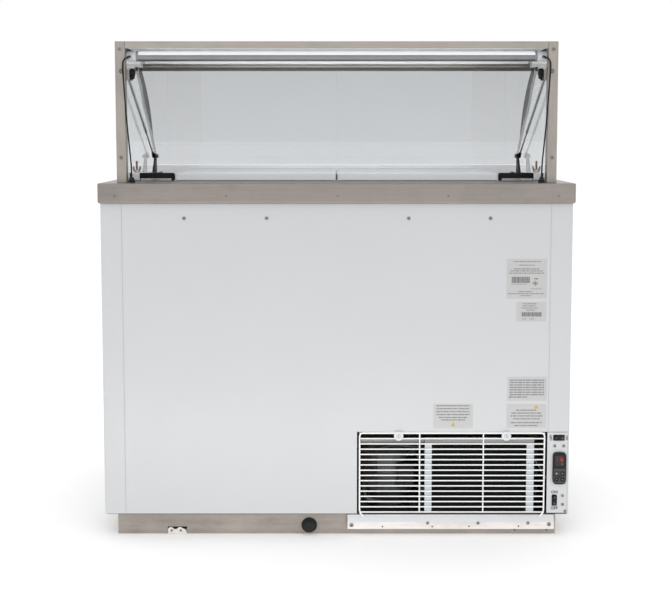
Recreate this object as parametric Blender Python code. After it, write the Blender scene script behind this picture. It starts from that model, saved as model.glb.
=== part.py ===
"""Chest freezer for serving scooped ice cream: an insulated cabinet with flip lids, a stainless
top, a lift-up curved glass canopy with a lamp, and a condensing unit behind a wire guard.

Metres, +Z up. The operator's side is -Y, the customer's side +Y. The origin is on the floor,
under the middle of the cabinet.
"""
import bpy
import bmesh
from math import sin, cos, pi, radians, atan2, hypot
from mathutils import Vector, Matrix

for ob in list(bpy.data.objects):
    bpy.data.objects.remove(ob, do_unlink=True)

# ---------------------------------------------------------------- driving dimensions
GAP = 0.0003            # clearance left between pieces that touch
RIM_X, RIM_Y = 0.600, 0.350
RIM_Z0, RIM_Z1 = 0.8546, 0.905
RIM_PLATE = 0.002
BODY_X, BODY_Y = 0.594, 0.338
BODY_Z0 = 0.0575
SHEET = 0.0015
PLINTH_X, PLINTH_Y, PLINTH_Z = 0.563, 0.325, 0.055
CORNER_WRAP = 0.0545    # how far a side panel folds round onto the rear
NOTCH_X, NOTCH_Z = 0.0519, 0.2707   # opening for the condensing unit
OPEN_X, OPEN_Y0, OPEN_Y1 = 0.428, -0.198, 0.238   # opening in the top
TANK_X, TANK_Y0, TANK_Y1 = 0.500, -0.250, 0.265
TANK_STEP_X, TANK_LOW, TANK_HIGH = 0.028, 0.130, 0.345
TOP_Z = 1.261
POST_X0, POST_X1, POST_Y0, POST_Y1 = 0.5344, 0.5597, -0.294, -0.269
SHELF_Z0, SHELF_FRONT = 1.2435, 0.0454
HINGE_Y, HINGE_Z, BARREL_R = 0.056, 1.232, 0.0103
GLASS_T, GLASS_X = 0.005, 0.5597
GLASS_CURVE = [(0.0680, 1.2125), (0.133, 1.167), (0.199, 1.103), (0.240, 1.030), (0.260, 0.968), (0.267, 0.9354)]
CHEEK_CURVE = [(-0.054, 1.2060), (-0.010, 1.178), (0.025, 1.146), (0.057, 1.110), (0.107, 1.0735), (0.178, 1.020), (0.246, 0.962)]
PANE_X0, PANE_X1 = 0.549, 0.554
STRUT_X = 0.540
STRUT_TOP = (-0.235, 1.179)
STRUT_FOOT = (0.150, 0.963)
TUBE_R, BORE_R, ROD_R = 0.0048, 0.0030, 0.0027
TUBE_L = 0.300
LAMP_Y, LAMP_Z, LAMP_R, LAMP_X = -0.262, 1.2255, 0.0128, 0.505
LID_Z0, LID_Z1 = 0.9073, 0.9233
PULL_X, PULL_Y, PULL_DEEP = 0.110, 0.026, 0.0075   # finger pull sunk in each lid
LID_HINGE_Y = 0.020
GUARD_X = [0.0587, 0.2118, 0.3744, 0.5301]
GUARD_Z0, GUARD_PITCH, GUARD_ROWS, WIRE = 0.0628, 0.01368, 16, 0.0038


# ---------------------------------------------------------------- materials
def material(name, rgb, rough=0.5, metal=0.0):
    m = bpy.data.materials.new(name)
    m.use_nodes = True
    b = m.node_tree.nodes["Principled BSDF"]
    b.inputs["Base Color"].default_value = (*rgb, 1)
    b.inputs["Roughness"].default_value = rough
    b.inputs["Metallic"].default_value = metal
    m.diffuse_color = (*rgb, 1)
    return m


PAINT = dict(rgb=(0.66, 0.67, 0.68), rough=0.45)
STEEL = dict(rgb=(0.42, 0.39, 0.36), rough=0.35, metal=1.0)
GREY = dict(rgb=(0.30, 0.26, 0.24), rough=0.6)
BLACK = dict(rgb=(0.02, 0.02, 0.02), rough=0.5)
GLASS = dict(rgb=(0.80, 0.85, 0.86), rough=0.05)
WHITE = dict(rgb=(0.75, 0.77, 0.78), rough=0.4)
ALU = dict(rgb=(0.55, 0.55, 0.55), rough=0.35, metal=1.0)
COPPER = dict(rgb=(0.60, 0.30, 0.18), rough=0.35, metal=1.0)
FOAM = dict(rgb=(0.70, 0.60, 0.35), rough=0.9)


# ---------------------------------------------------------------- shape helpers
def finish(name, bm, look, origin=(0, 0, 0)):
    """Close a bmesh into a named object whose origin sits at the given world point."""
    bmesh.ops.recalc_face_normals(bm, faces=bm.faces[:])
    if bm.calc_volume(signed=True) < 0:
        bmesh.ops.reverse_faces(bm, faces=bm.faces[:])
    o = Vector(origin)
    bmesh.ops.translate(bm, verts=bm.verts[:], vec=-o)
    me = bpy.data.meshes.new(name)
    bm.to_mesh(me)
    bm.free()
    ob = bpy.data.objects.new(name, me)
    ob.location = o
    bpy.context.scene.collection.objects.link(ob)
    if look is None:
        ob.hide_render = True
        ob.display_type = 'WIRE'
    else:
        me.materials.append(material(name, **look))
    return ob


def add_box(bm, x0, x1, y0, y1, z0, z1):
    m = Matrix.Translation(((x0 + x1) / 2, (y0 + y1) / 2, (z0 + z1) / 2)) @ Matrix.Diagonal(
        (abs(x1 - x0), abs(y1 - y0), abs(z1 - z0), 1))
    bmesh.ops.create_cube(bm, size=1, matrix=m)
    return bm


def box(x0, x1, y0, y1, z0, z1):
    return add_box(bmesh.new(), x0, x1, y0, y1, z0, z1)


def rounded_box(x0, x1, y0, y1, z0, z1, r, axis='Z', seg=3):
    """A box whose four edges along one axis are rounded."""
    if axis == 'Z':
        a0, a1, b0, b1, c0, c1 = x0, x1, y0, y1, z0, z1
    elif axis == 'Y':
        a0, a1, b0, b1, c0, c1 = x0, x1, z0, z1, y0, y1
    else:
        a0, a1, b0, b1, c0, c1 = y0, y1, z0, z1, x0, x1
    a0, a1, b0, b1 = min(a0, a1), max(a0, a1), min(b0, b1), max(b0, b1)
    pts = []
    for ca, cb, t0 in ((a1 - r, b0 + r, -90), (a1 - r, b1 - r, 0), (a0 + r, b1 - r, 90), (a0 + r, b0 + r, 180)):
        for i in range(seg + 1):
            t = radians(t0 + 90 * i / seg)
            pts.append((ca + r * cos(t), cb + r * sin(t)))
    return prism(pts, axis, c0, c1)


def prism(pts, axis, a0, a1):
    """A flat outline pushed along an axis. Outline planes: Z -> (x, y), Y -> (x, z), X -> (y, z)."""
    bm = bmesh.new()

    def at(p, h):
        return {'Z': (p[0], p[1], h), 'Y': (p[0], h, p[1]), 'X': (h, p[0], p[1])}[axis]
    vs = [bm.verts.new(at(p, a0)) for p in pts]
    f = bm.faces.new(vs)
    r = bmesh.ops.extrude_face_region(bm, geom=[f])
    d = {'Z': (0, 0, a1 - a0), 'Y': (0, a1 - a0, 0), 'X': (a1 - a0, 0, 0)}[axis]
    bmesh.ops.translate(bm, verts=[v for v in r['geom'] if isinstance(v, bmesh.types.BMVert)], vec=d)
    return bm


def lathe(profile, n, centre, axis='Z'):
    """Turn (radius, height) points round an axis. Ends at radius 0 close with a pole; a profile
    that never touches the axis closes on itself as a ring."""
    bm = bmesh.new()
    ring = profile[0][0] > 0 and profile[-1][0] > 0
    cx, cy, cz = centre

    def at(r, h, t):
        u, v = r * cos(t), r * sin(t)
        return {'Z': (cx + u, cy + v, cz + h), 'Y': (cx + u, cy + h, cz + v), 'X': (cx + h, cy + u, cz + v)}[axis]
    rows = []
    for r, h in profile:
        rows.append([bm.verts.new(at(0, h, 0))] if r == 0 else [bm.verts.new(at(r, h, 2 * pi * i / n)) for i in range(n)])
    pairs = list(zip(rows, rows[1:])) + ([(rows[-1], rows[0])] if ring else [])
    for a, b in pairs:
        for i in range(n):
            j = (i + 1) % n
            if len(a) == 1:
                bm.faces.new((a[0], b[i], b[j]))
            elif len(b) == 1:
                bm.faces.new((a[i], a[j], b[0]))
            else:
                bm.faces.new((a[i], a[j], b[j], b[i]))
    return bm


def rod(r, h0, h1, centre, axis, n=16):
    return lathe([(0, h0), (r, h0), (r, h1), (0, h1)], n, centre, axis)


def boolean(ob, other, op='DIFFERENCE'):
    m = ob.modifiers.new(op.lower(), 'BOOLEAN')
    m.operation = op
    m.solver = 'EXACT'
    m.object = other
    return ob


def cut(ob, bm, op='DIFFERENCE'):
    """Take a hidden cutter out of an object, or join a hidden operand to it."""
    return boolean(ob, finish("cut_%s_%d" % (ob.name, len(ob.modifiers)), bm, None), op)


def lattice(xs, zs, solid, y0, y1):
    """A flat plate of cells: those marked solid are filled, the rest are open windows."""
    bm = bmesh.new()
    v = {}

    def vert(i, k, y):
        if (i, k, y) not in v:
            v[i, k, y] = bm.verts.new((xs[i], y, zs[k]))
        return v[i, k, y]
    nx, nz = len(xs) - 1, len(zs) - 1

    def full(i, k):
        return 0 <= i < nx and 0 <= k < nz and solid(i, k)
    for i in range(nx):
        for k in range(nz):
            if not full(i, k):
                continue
            for y in (y0, y1):
                bm.faces.new((vert(i, k, y), vert(i + 1, k, y), vert(i + 1, k + 1, y), vert(i, k + 1, y)))
            for di, dk, a, b in ((-1, 0, (i, k), (i, k + 1)), (1, 0, (i + 1, k), (i + 1, k + 1)),
                                 (0, -1, (i, k), (i + 1, k)), (0, 1, (i, k + 1), (i + 1, k + 1))):
                if not full(i + di, k + dk):
                    bm.faces.new((vert(*a, y0), vert(*b, y0), vert(*b, y1), vert(*a, y1)))
    return bm


def spline(pts, per):
    """Points along a smooth curve through the given points (Catmull-Rom)."""
    out = []
    p = [Vector(q) for q in pts]
    p = [p[0] * 2 - p[1]] + p + [p[-1] * 2 - p[-2]]
    for i in range(1, len(p) - 2):
        for k in range(per):
            t = k / per
            a, b, c, d = p[i - 1], p[i], p[i + 1], p[i + 2]
            out.append(0.5 * ((2 * b) + (c - a) * t + (2 * a - 5 * b + 4 * c - d) * t * t + (3 * b - a - 3 * c + d) * t ** 3))
    out.append(p[-2])
    return out


def offset(pts, d):
    """Move a (y, z) curve sideways, to its inner side for a positive distance."""
    out = []
    for i, q in enumerate(pts):
        a, b = pts[max(i - 1, 0)], pts[min(i + 1, len(pts) - 1)]
        t = Vector((b[0] - a[0], b[1] - a[1])).normalized()
        out.append((q[0] + t.y * d, q[1] - t.x * d))
    return out


def wire(name, pts, radius, look, res=2):
    """A round cord: a poly curve with a round bevel and filled ends."""
    cu = bpy.data.curves.new(name, 'CURVE')
    cu.dimensions = '3D'
    cu.bevel_depth = radius
    cu.bevel_resolution = res
    cu.use_fill_caps = True
    s = cu.splines.new('POLY')
    s.points.add(len(pts) - 1)
    for i, q in enumerate(pts):
        s.points[i].co = (q[0], q[1], q[2], 1)
    ob = bpy.data.objects.new(name, cu)
    bpy.context.scene.collection.objects.link(ob)
    cu.materials.append(material(name, **look))
    return ob


def mx(s, a, b):
    """Order a pair of x limits for the left (-1) or right (+1) side."""
    return (a, b) if s > 0 else (-b, -a)


# ---------------------------------------------------------------- base
base = finish("base_frame", box(-PLINTH_X, PLINTH_X, -PLINTH_Y, PLINTH_Y, 0, PLINTH_Z), GREY)
cut(base, box(-PLINTH_X + .003, PLINTH_X - .003, -PLINTH_Y + .003, PLINTH_Y - .003, .003, .08))
cut(base, box(-PLINTH_X + .04, PLINTH_X - .04, -PLINTH_Y + .04, PLINTH_Y - .04, -.02, .02))
cut(base, box(-.436, -.386, -.4, -PLINTH_Y + .03, -.01, .019))
cut(base, rod(.0120, -.01, .01, (-.0706, -PLINTH_Y, .0228), 'Y', 20))

# floor pan under the cabinet; its rear edge is folded down as the rail of the condensing unit's tray
pan = finish("floor_pan", box(-.588, .588, -.3345, .3345, PLINTH_Z + GAP, BODY_Z0 - GAP), GREY)
rail = [(-.3345, .0560), (-.3300, .0560), (-.3300, .0510), (-.3355, .0350), (-.3355, .0180), (-.3258, .0180),
        (-.3258, .0164), (-.3370, .0164), (-.3370, .0350), (-.3325, .0506)]
rail = [(-.3318, .0555), (-.3290, .0555), (-.3290, .0506), (-.3355, .0345), (-.3355, .0178), (-.3258, .0178),
        (-.3258, .0164), (-.3370, .0164), (-.3370, .0345), (-.3318, .0480)]
cut(pan, prism(rail, 'X', .028, .558), 'UNION')

# turned-in ring of the drain in the plinth, and its pull-off cap
drain = finish("drain_cap", lathe([(0, -.0155), (.0125, -.0155), (.0140, -.0140), (.0140, -.0075), (.0165, -.0060), (.0165, -.0003),
                                   (.0117, -.0003), (.0117, .012), (0, .012)], 24, (-.0706, -PLINTH_Y, .0228), 'Y'),
               BLACK, (-.0706, -PLINTH_Y, .0228))

# ---------------------------------------------------------------- outer panels
for s, name in ((-1, "left_side_panel"), (1, "right_side_panel")):
    X, W, T = BODY_X, CORNER_WRAP, SHEET
    pts = [(X - W, -BODY_Y), (X - .004, -BODY_Y), (X - .0012, -BODY_Y + .0012), (X, -BODY_Y + .004), (X, BODY_Y - .004),
           (X - .0012, BODY_Y - .0012), (X - .004, BODY_Y), (X - .020, BODY_Y), (X - .020, BODY_Y - T), (X - .004, BODY_Y - T),
           (X - T, BODY_Y - .004), (X - T, -BODY_Y + .004), (X - .004, -BODY_Y + T), (X - W, -BODY_Y + T)]
    if s < 0:
        pts = [(-x, y) for x, y in reversed(pts)]
    ob = finish(name, prism(pts, 'Z', BODY_Z0, RIM_Z0 - GAP), PAINT)
    if s > 0:
        cut(ob, box(X - W - .01, X - .0045, -.36, -.325, .02, NOTCH_Z))

finish("front_panel", box(-BODY_X + .0203, BODY_X - .0203, BODY_Y - SHEET, BODY_Y, BODY_Z0, RIM_Z0 - GAP), PAINT)

rx = BODY_X - CORNER_WRAP - GAP
finish("rear_panel", prism([(-rx, BODY_Z0), (NOTCH_X, BODY_Z0), (NOTCH_X, NOTCH_Z), (rx, NOTCH_Z), (rx, RIM_Z0 - GAP),
                            (-rx, RIM_Z0 - GAP)], 'Y', -BODY_Y, -BODY_Y + SHEET), PAINT)

CP0, CP1 = .5377, BODY_X - .0048
plate = finish("control_plate", box(CP0, CP1, -BODY_Y, -BODY_Y + SHEET, .0595, NOTCH_Z - .0012), PAINT)
LIGHT_C, POWER_C = (.5672, .2556), (.5576, .0926)
cut(plate, box(LIGHT_C[0] - .0148, LIGHT_C[0] + .0148, -.36, -.32, LIGHT_C[1] - .0078, LIGHT_C[1] + .0078))
cut(plate, box(POWER_C[0] - .0068, POWER_C[0] + .0068, -.36, -.32, POWER_C[1] - .0148, POWER_C[1] + .0148))

# ---------------------------------------------------------------- stainless top
rim = finish("top_rim", rounded_box(-RIM_X, RIM_X, -RIM_Y, RIM_Y, RIM_Z0, RIM_Z1, .010, 'Z', 3), STEEL)
cut(rim, rounded_box(-RIM_X + .0015, RIM_X - .0015, -RIM_Y + .0015, RIM_Y - .0015, RIM_Z0 - .02, RIM_Z1 - RIM_PLATE, .0085, 'Z', 3))
cut(rim, box(-OPEN_X, OPEN_X, OPEN_Y0, OPEN_Y1, .88, .93))
for s in (-1, 1):
    cut(rim, rod(.0034, -.01, .01, (s * .530, -.175, RIM_Z1), 'Z', 12))
    cut(rim, rod(.0040, -.01, .01, (s * .5205, -.2985, RIM_Z1), 'Z', 12))

collar = finish("opening_collar", box(-OPEN_X + GAP, OPEN_X - GAP, OPEN_Y0 + GAP, OPEN_Y1 - GAP, .890, .907), WHITE)
cut(collar, box(-.446, .446, -.216, .256, .890, RIM_Z1 - RIM_PLATE - GAP), 'UNION')
cut(collar, box(-.418, .418, -.188, .228, .85, .95))

# ---------------------------------------------------------------- tank, insulation, evaporator
def step_outline(g, top):
    """Tank section: deep on the left, shallow on the right above the condensing unit."""
    x, s, lo, hi = TANK_X + g, TANK_STEP_X + g, TANK_LOW - g, TANK_HIGH - g
    return [(-x, lo), (s, lo), (s, hi), (x, hi), (x, top), (-x, top)]


TOP_IN = RIM_Z1 - RIM_PLATE - GAP
liner = finish("inner_liner", prism(step_outline(.002, TOP_IN), 'Y', TANK_Y0 - .002, TANK_Y1 + .002), WHITE)
cut(liner, prism(step_outline(0, .95), 'Y', TANK_Y0, TANK_Y1))

foam = finish("insulation_foam", rounded_box(-BODY_X + .0022, BODY_X - .0022, -BODY_Y + .0022, BODY_Y - .0022, BODY_Z0, TOP_IN - .0005, .005, "Z", 1), FOAM)
cut(foam, prism(step_outline(.0023, .95), 'Y', TANK_Y0 - .0023, TANK_Y1 + .0023))
cut(foam, box(.046, .7, -.5, .240, .03, .300))
cut(foam, box(-.5160, .5160, -.2660, .2810, .385, .815))
cut(foam, box(-.447, .447, -.217, .257, .885, .95))
for s in (-1, 1):
    cut(foam, rod(.006, -.03, .03, (s * .530, -.175, RIM_Z1), 'Z', 10))
    cut(foam, rod(.006, -.03, .03, (s * .5205, -.2985, RIM_Z1), 'Z', 10))

loop = []
EX, EY0, EY1, ER, LOOPS = .5095, -.2595, .2745, .012, 6
corners = [(EX, EY0, -90), (EX, EY1, 0), (-EX, EY1, 90), (-EX, EY0, 180)]
for k in range(LOOPS):
    for c, (x, y, t0) in enumerate(corners):
        cx, cy = x - ER * (1 if x > 0 else -1), y - ER * (1 if y > 0 else -1)
        for i in range(4):
            t = radians(t0 + 90 * i / 3)
            z = .405 + .060 * (k + (c + i / 3) / 4)
            loop.append((cx + ER * cos(t), cy + ER * sin(t), z))
wire("evaporator_tube", loop, .004, COPPER, 1)

# ---------------------------------------------------------------- lids
for s, side in ((-1, "left"), (1, "right")):
    a, b = mx(s, .0015, .426)
    c = (a + b) / 2
    for which, y0, y1, hy, org in (("front", .0215, .2435, .205, (0, 0, 0)), ("rear", -.2035, .0185, -.165, (0, LID_HINGE_Y, LID_Z1))):
        lid = finish("%s_%s_lid" % (side, which), rounded_box(a, b, y0, y1, LID_Z0, LID_Z1, .008, 'Z', 2), WHITE, org)
        cut(lid, box(a + .020, b - .020, y0 + .020, y1 - .020, LID_Z0 - .01, LID_Z0 + .004))
        cut(lid, rounded_box(c - PULL_X / 2, c + PULL_X / 2, hy - PULL_Y / 2, hy + PULL_Y / 2, LID_Z1 - PULL_DEEP, LID_Z1 + .01, .010, 'Z', 4))

# ---------------------------------------------------------------- canopy: posts, shelf, side panes
for s, side in ((-1, "left"), (1, "right")):
    a, b = mx(s, POST_X0, POST_X1)
    post = finish(side + "_post", rounded_box(a, b, POST_Y0, POST_Y1, RIM_Z1 + GAP, TOP_Z, .002, 'Z', 2), STEEL)
    # bracket on the front of the post, whose ear carries the strut's upper pivot
    ear = [(.5280, POST_Y1 - .004), (.5480, POST_Y1 - .004), (.5480, -.2640), (.5315, -.2640), (.5315, -.2250), (.5280, -.2250)]
    ear = [(s * x, y) for x, y in ear][::s]
    e = finish("%s_ear" % side, prism(ear, 'Z', STRUT_TOP[1] - .013, STRUT_TOP[1] + .013), None)
    boolean(post, e, 'UNION')
    a, b = mx(s, PANE_X0, PANE_X1)
    edge = [tuple(p) for p in spline(CHEEK_CURVE, 2)]
    edge = [(y + .007, z + .007) for y, z in edge if .962 < z < 1.205]
    pts = [(-.2683, RIM_Z1 + GAP), (.2570, RIM_Z1 + GAP), (.2570, .9560)] + edge[::-1]
    pts += [(-.0300, 1.2090), (.0380, 1.2090), (.0380, SHELF_Z0 - GAP), (-.2683, SHELF_Z0 - GAP)]
    finish(side + "_side_glass", prism(pts, 'X', a, b), GLASS)

A, B = POST_X0 - GAP, POST_X1
shelf_out = [(-A, POST_Y0), (A, POST_Y0), (A, POST_Y1 + GAP), (B, POST_Y1 + GAP), (B, SHELF_FRONT), (-B, SHELF_FRONT), (-B, POST_Y1 + GAP), (-A, POST_Y1 + GAP)]
t = .002
shelf_in = [(-A + t, POST_Y0 + t), (A - t, POST_Y0 + t), (A - t, POST_Y1 + GAP + t), (B - t, POST_Y1 + GAP + t), (B - t, SHELF_FRONT - t),
            (-B + t, SHELF_FRONT - t), (-B + t, POST_Y1 + GAP + t), (-A + t, POST_Y1 + GAP + t)]
shelf = finish("top_shelf", prism(shelf_out, 'Z', SHELF_Z0, TOP_Z), STEEL)
cut(shelf, prism(shelf_in, 'Z', SHELF_Z0 - .02, TOP_Z - .002))
# front lip that the glass closes against
cut(shelf, box(-.5440, .5440, SHELF_FRONT - .003, SHELF_FRONT, 1.2250, SHELF_Z0 + .004), 'UNION')

# ---------------------------------------------------------------- lamp and its leads
finish("lamp_tube", rod(LAMP_R, -LAMP_X, LAMP_X, (0, LAMP_Y, LAMP_Z), 'X', 24), WHITE)
for s, side in ((-1, "left"), (1, "right")):
    a, b = mx(s, LAMP_X + GAP, POST_X0 - GAP)
    finish(side + "_lamp_cap", lathe([(0, a), (.0132, a), (.0132, b), (0, b)], 20, (0, LAMP_Y, LAMP_Z), 'X'), BLACK)
    route = [(.5250, -.2756, 1.2235), (.5253, -.2860, 1.2230), (.5285, -.2955, 1.2205), (.5360, -.2990, 1.2140), (.5395, -.2988, 1.2000),
             (.5374, -.2985, 1.1586), (.5343, -.2985, 1.1100), (.5312, -.2985, 1.0633), (.5278, -.2985, 1.0240), (.5243, -.2985, .9860),
             (.5213, -.2985, .9500), (.5205, -.2985, .9195)]
    pts = spline([(s * x, y, z) for x, y, z in route], 3)
    wire(side + "_lamp_lead", pts, .0019, BLACK, 2)
    finish(side + "_lead_gland", lathe([(0, -.010), (.0036, -.010), (.0036, GAP), (.0085, GAP), (.0085, .006), (.0060, .009), (.0045, .0142), (0, .0142)],
                                       16, (s * .5205, -.2985, RIM_Z1), 'Z'), BLACK)

# ---------------------------------------------------------------- lift-up front glass
ORG = (0, HINGE_Y, HINGE_Z)
outer = [tuple(p) for p in spline(GLASS_CURVE, 4)]
inner = offset(outer, GLASS_T)
finish("curved_front_glass", prism(outer + inner[::-1], 'X', -GLASS_X, GLASS_X), GLASS, ORG)

d = atan2(1.2125 - .0025 - HINGE_Z, .0680 - .0018 - HINGE_Y)
prof = []
for i in range(15):
    a = d + radians(24) + radians(312) * i / 14
    prof.append((HINGE_Y + BARREL_R * cos(a), HINGE_Z + BARREL_R * sin(a)))
tip = Vector((outer[0][0] + inner[0][0], outer[0][1] + inner[0][1])) / 2
u = Vector((cos(d), sin(d)))
end = tip - u * .0012 - Vector((.0006, -.0005))
n = Vector((-u.y, u.x))
prof += [tuple(end - n * .0028), tuple(end + n * .0028)]
finish("glass_hinge_strip", prism(prof, 'X', -GLASS_X, GLASS_X), STEEL, ORG)

finish("glass_bottom_rail", rounded_box(-GLASS_X, GLASS_X, .2600, .2720, RIM_Z1 + .0006, .9334, .0018, 'X', 2), STEEL, ORG)

for s, side in ((-1, "left"), (1, "right")):
    a, b = mx(s, .5562, .5580)
    o2 = offset(outer, GLASS_T + GAP)
    o2 = [p for p in o2 if p[1] > .965]
    pts = [(-.050, 1.2120)] + [tuple(p) for p in spline(CHEEK_CURVE, 3)]
    pts += o2[::-1] + [(.0480, 1.2150)]
    finish(side + "_glass_cheek", prism(pts, 'X', a, b), STEEL, ORG)
    a, b = mx(s, .5325, .5365)
    finish(side + "_strut_bracket", prism([(.092, .9068), (.2597, .9068), (.2597, .9125), (.1600, .9125), (.1570, .9700), (.1430, .9700)], 'X', a, b), BLACK, ORG)

# ---------------------------------------------------------------- gas struts
sy, sz = STRUT_FOOT[0] - STRUT_TOP[0], STRUT_FOOT[1] - STRUT_TOP[1]
SL = hypot(sy, sz)
tilt = Matrix.Translation((0, *STRUT_TOP)) @ Matrix.Rotation(atan2(sz, sy), 4, 'X')
for s, side in ((-1, "left"), (1, "right")):
    bm = lathe([(0, .012), (.0042, .012), (TUBE_R, .015), (TUBE_R, TUBE_L - .002), (.0042, TUBE_L), (BORE_R, TUBE_L), (BORE_R, .030), (0, .030)], 12, (0, 0, 0), 'Y')
    bmesh.ops.transform(bm, matrix=Matrix.Translation((s * STRUT_X, 0, 0)) @ tilt, verts=bm.verts[:])
    tube = finish(side + "_strut_tube", bm, STEEL, (s * STRUT_X, *STRUT_TOP))
    bm = rod(.0070, -.0070, .0070, (0, 0, 0), 'X', 14)
    bmesh.ops.transform(bm, matrix=Matrix.Translation((s * STRUT_X, 0, 0)) @ tilt, verts=bm.verts[:])
    cut(tube, bm, 'UNION')
    bm = box(-.0030, .0030, 0, .018, -.0045, .0045)
    bmesh.ops.transform(bm, matrix=Matrix.Translation((s * STRUT_X, 0, 0)) @ tilt, verts=bm.verts[:])
    cut(tube, bm, 'UNION')
    bm = lathe([(0, .060), (ROD_R, .060), (ROD_R, SL + .006), (0, SL + .006)], 12, (0, 0, 0), 'Y')
    bmesh.ops.transform(bm, matrix=Matrix.Translation((s * STRUT_X, 0, 0)) @ tilt, verts=bm.verts[:])
    finish(side + "_strut_rod", bm, ALU, (s * STRUT_X, *STRUT_TOP))

# ---------------------------------------------------------------- clamp straps that hold the canopy down
for s, side in ((-1, "left"), (1, "right")):
    bar = [(.4285, RIM_Z1 + GAP), (.4370, RIM_Z1 + GAP), (.4370, .9110), (.5220, .9110), (.5220, RIM_Z1 + GAP), (.5470, RIM_Z1 + GAP), (.5470, .9250), (.4340, .9250), (.4285, .9215)]
    bar = [(s * x, z) for x, z in bar][::s]
    strap = finish(side + "_clamp_strap", prism(bar, 'Y', -.185, -.165), BLACK)
    cut(strap, rod(.0034, -.05, .05, (s * .530, -.175, .915), 'Z', 12))
    finish(side + "_clamp_stud", rod(.0030, .890, .957, (s * .530, -.175, 0), 'Z', 12), STEEL)
    nut = finish(side + "_wing_nut", lathe([(.0034, .9255), (.0070, .9255), (.0060, .9340), (.0034, .9340)], 16, (s * .530, -.175, 0), 'Z'), STEEL,
                 (s * .530, -.175, .9255))
    for w in (-1, 1):
        pts = [(.0050, .9275), (.0085, .9280), (.0115, .9400), (.0095, .9430), (.0070, .9415), (.0048, .9335)]
        pts = [(s * .530 + w * x, z) for x, z in pts]
        cut(nut, prism(pts, 'Y', -.1765, -.1735), 'UNION')

# ---------------------------------------------------------------- condensing unit
xs, zs = [], []
for x in GUARD_X:
    xs += [x - WIRE / 2, x + WIRE / 2]
for i in range(GUARD_ROWS):
    zs += [GUARD_Z0 + i * GUARD_PITCH - WIRE / 2, GUARD_Z0 + i * GUARD_PITCH + WIRE / 2]
finish("wire_guard", lattice(xs, zs, lambda i, k: i % 2 == 0 or k % 2 == 0, -.3420, -.3382), WHITE)

FX0, FX1, FX2, FX3 = .2250, .2430, .4850, .5040
finish("condenser_frame", prism([(FX0, .0600), (FX1, .0600), (FX1, .2416), (FX2, .2416), (FX2, .0600), (FX3, .0600), (FX3, .2560), (FX0, .2560)], 'Y', -.3379, -.3360), WHITE)
finish("condenser_coil", rounded_box(FX0 + .001, FX3 - .001, -.3355, -.2855, .0600, .2400, .004, 'Y', 1), BLACK)
shroud = finish("fan_shroud", box(FX0 + .001, FX3 - .001, -.2850, -.2550, .0600, .2400), BLACK)
FC = ((FX0 + FX3) / 2, .1500)
cut(shroud, box(FX0 + .003, FX3 - .003, -.2900, -.2570, .0620, .2380))
cut(shroud, rod(.0830, -.30, -.20, (FC[0], 0, FC[1]), 'Y', 28))

hub = finish("fan_blade", rod(.0180, -.2760, -.2600, (FC[0], 0, FC[1]), 'Y', 16), BLACK, (FC[0], -.268, FC[1]))
for k in range(5):
    bm = rounded_box(-.0190, .0190, -.0008, .0008, .0140, .0770, .0008, 'Z', 1)
    m = Matrix.Translation((FC[0], -.2680, FC[1])) @ Matrix.Rotation(2 * pi * k / 5, 4, 'Y') @ Matrix.Rotation(radians(24), 4, 'Z')
    bmesh.ops.transform(bm, matrix=m, verts=bm.verts[:])
    cut(hub, bm, 'UNION')

motor = finish("fan_motor", lathe([(0, -.2597), (.0060, -.2597), (.0060, -.2540), (.0340, -.2500), (.0340, -.2100), (.0280, -.2040), (0, -.2040)], 20, (FC[0], 0, FC[1]), 'Y'), BLACK)
for a in (-35, 35):
    bm = box(-.0955, .0955, -.2546, -.2516, -.0060, .0060)
    bmesh.ops.transform(bm, matrix=Matrix.Translation((FC[0], 0, FC[1])) @ Matrix.Rotation(radians(a), 4, 'Y'), verts=bm.verts[:])
    cut(motor, bm, 'UNION')

finish("compressor", lathe([(0, BODY_Z0), (.060, BODY_Z0), (.060, .0680), (.0520, .0740), (.0700, .0950), (.0730, .1350), (.0730, .1420), (.0755, .1425), (.0755, .1455),
                            (.0730, .1460), (.0700, .1950), (.0520, .2250), (.0250, .2350), (0, .2360)], 22, (.137, -.215, 0), 'Z'), BLACK)

# ---------------------------------------------------------------- controls
cx, cz = (.5507 + .5864) / 2, (.1358 + .2186) / 2
pts = []
for i in range(7):
    t = -1 + 2 * i / 6
    pts.append((cx + .0172 * t, .1372 - .0014 * (1 - t * t)))
for i in range(7):
    t = 1 - 2 * i / 6
    pts.append((cx + .0172 * t, .2172 + .0014 * (1 - t * t)))
ctl = finish("controller", prism(pts, 'Y', -.3445, -BODY_Y - GAP), BLACK)
for i, (name, bx, bz) in enumerate((("set", cx - .0075, .1640), ("up", cx + .0075, .1640), ("defrost", cx - .0075, .1490), ("down", cx + .0075, .1490))):
    cut(ctl, box(bx - .0048, bx + .0048, -.36, -.3417, bz - .0048, bz + .0048))
    finish(name + "_button", rounded_box(bx - .0045, bx + .0045, -.3453, -.3429, bz - .0045, bz + .0045, .001, 'Y', 2), BLACK, (bx, -.3453, bz))

def rocker(name, c, axis):
    """A rocker that tilts in a window of the control plate, dished on its face."""
    half, wide = .0125, .0052 if axis == 'X' else .0062
    prof = [(-half, -.3430), (0, -.3405), (half, -.3430), (half - .0010, -.3330), (-half + .0010, -.3330)]
    if axis == 'X':
        bm = prism([(y, c[1] + h) for h, y in prof], 'X', c[0] - wide, c[0] + wide)
    else:
        bm = prism([(c[0] + h, y) for h, y in prof], 'Z', c[1] - wide, c[1] + wide)
    return finish(name, bm, BLACK, (c[0], -.3365, c[1]))


rocker("power_switch", POWER_C, 'X')
rocker("light_switch", LIGHT_C, 'Z')

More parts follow.
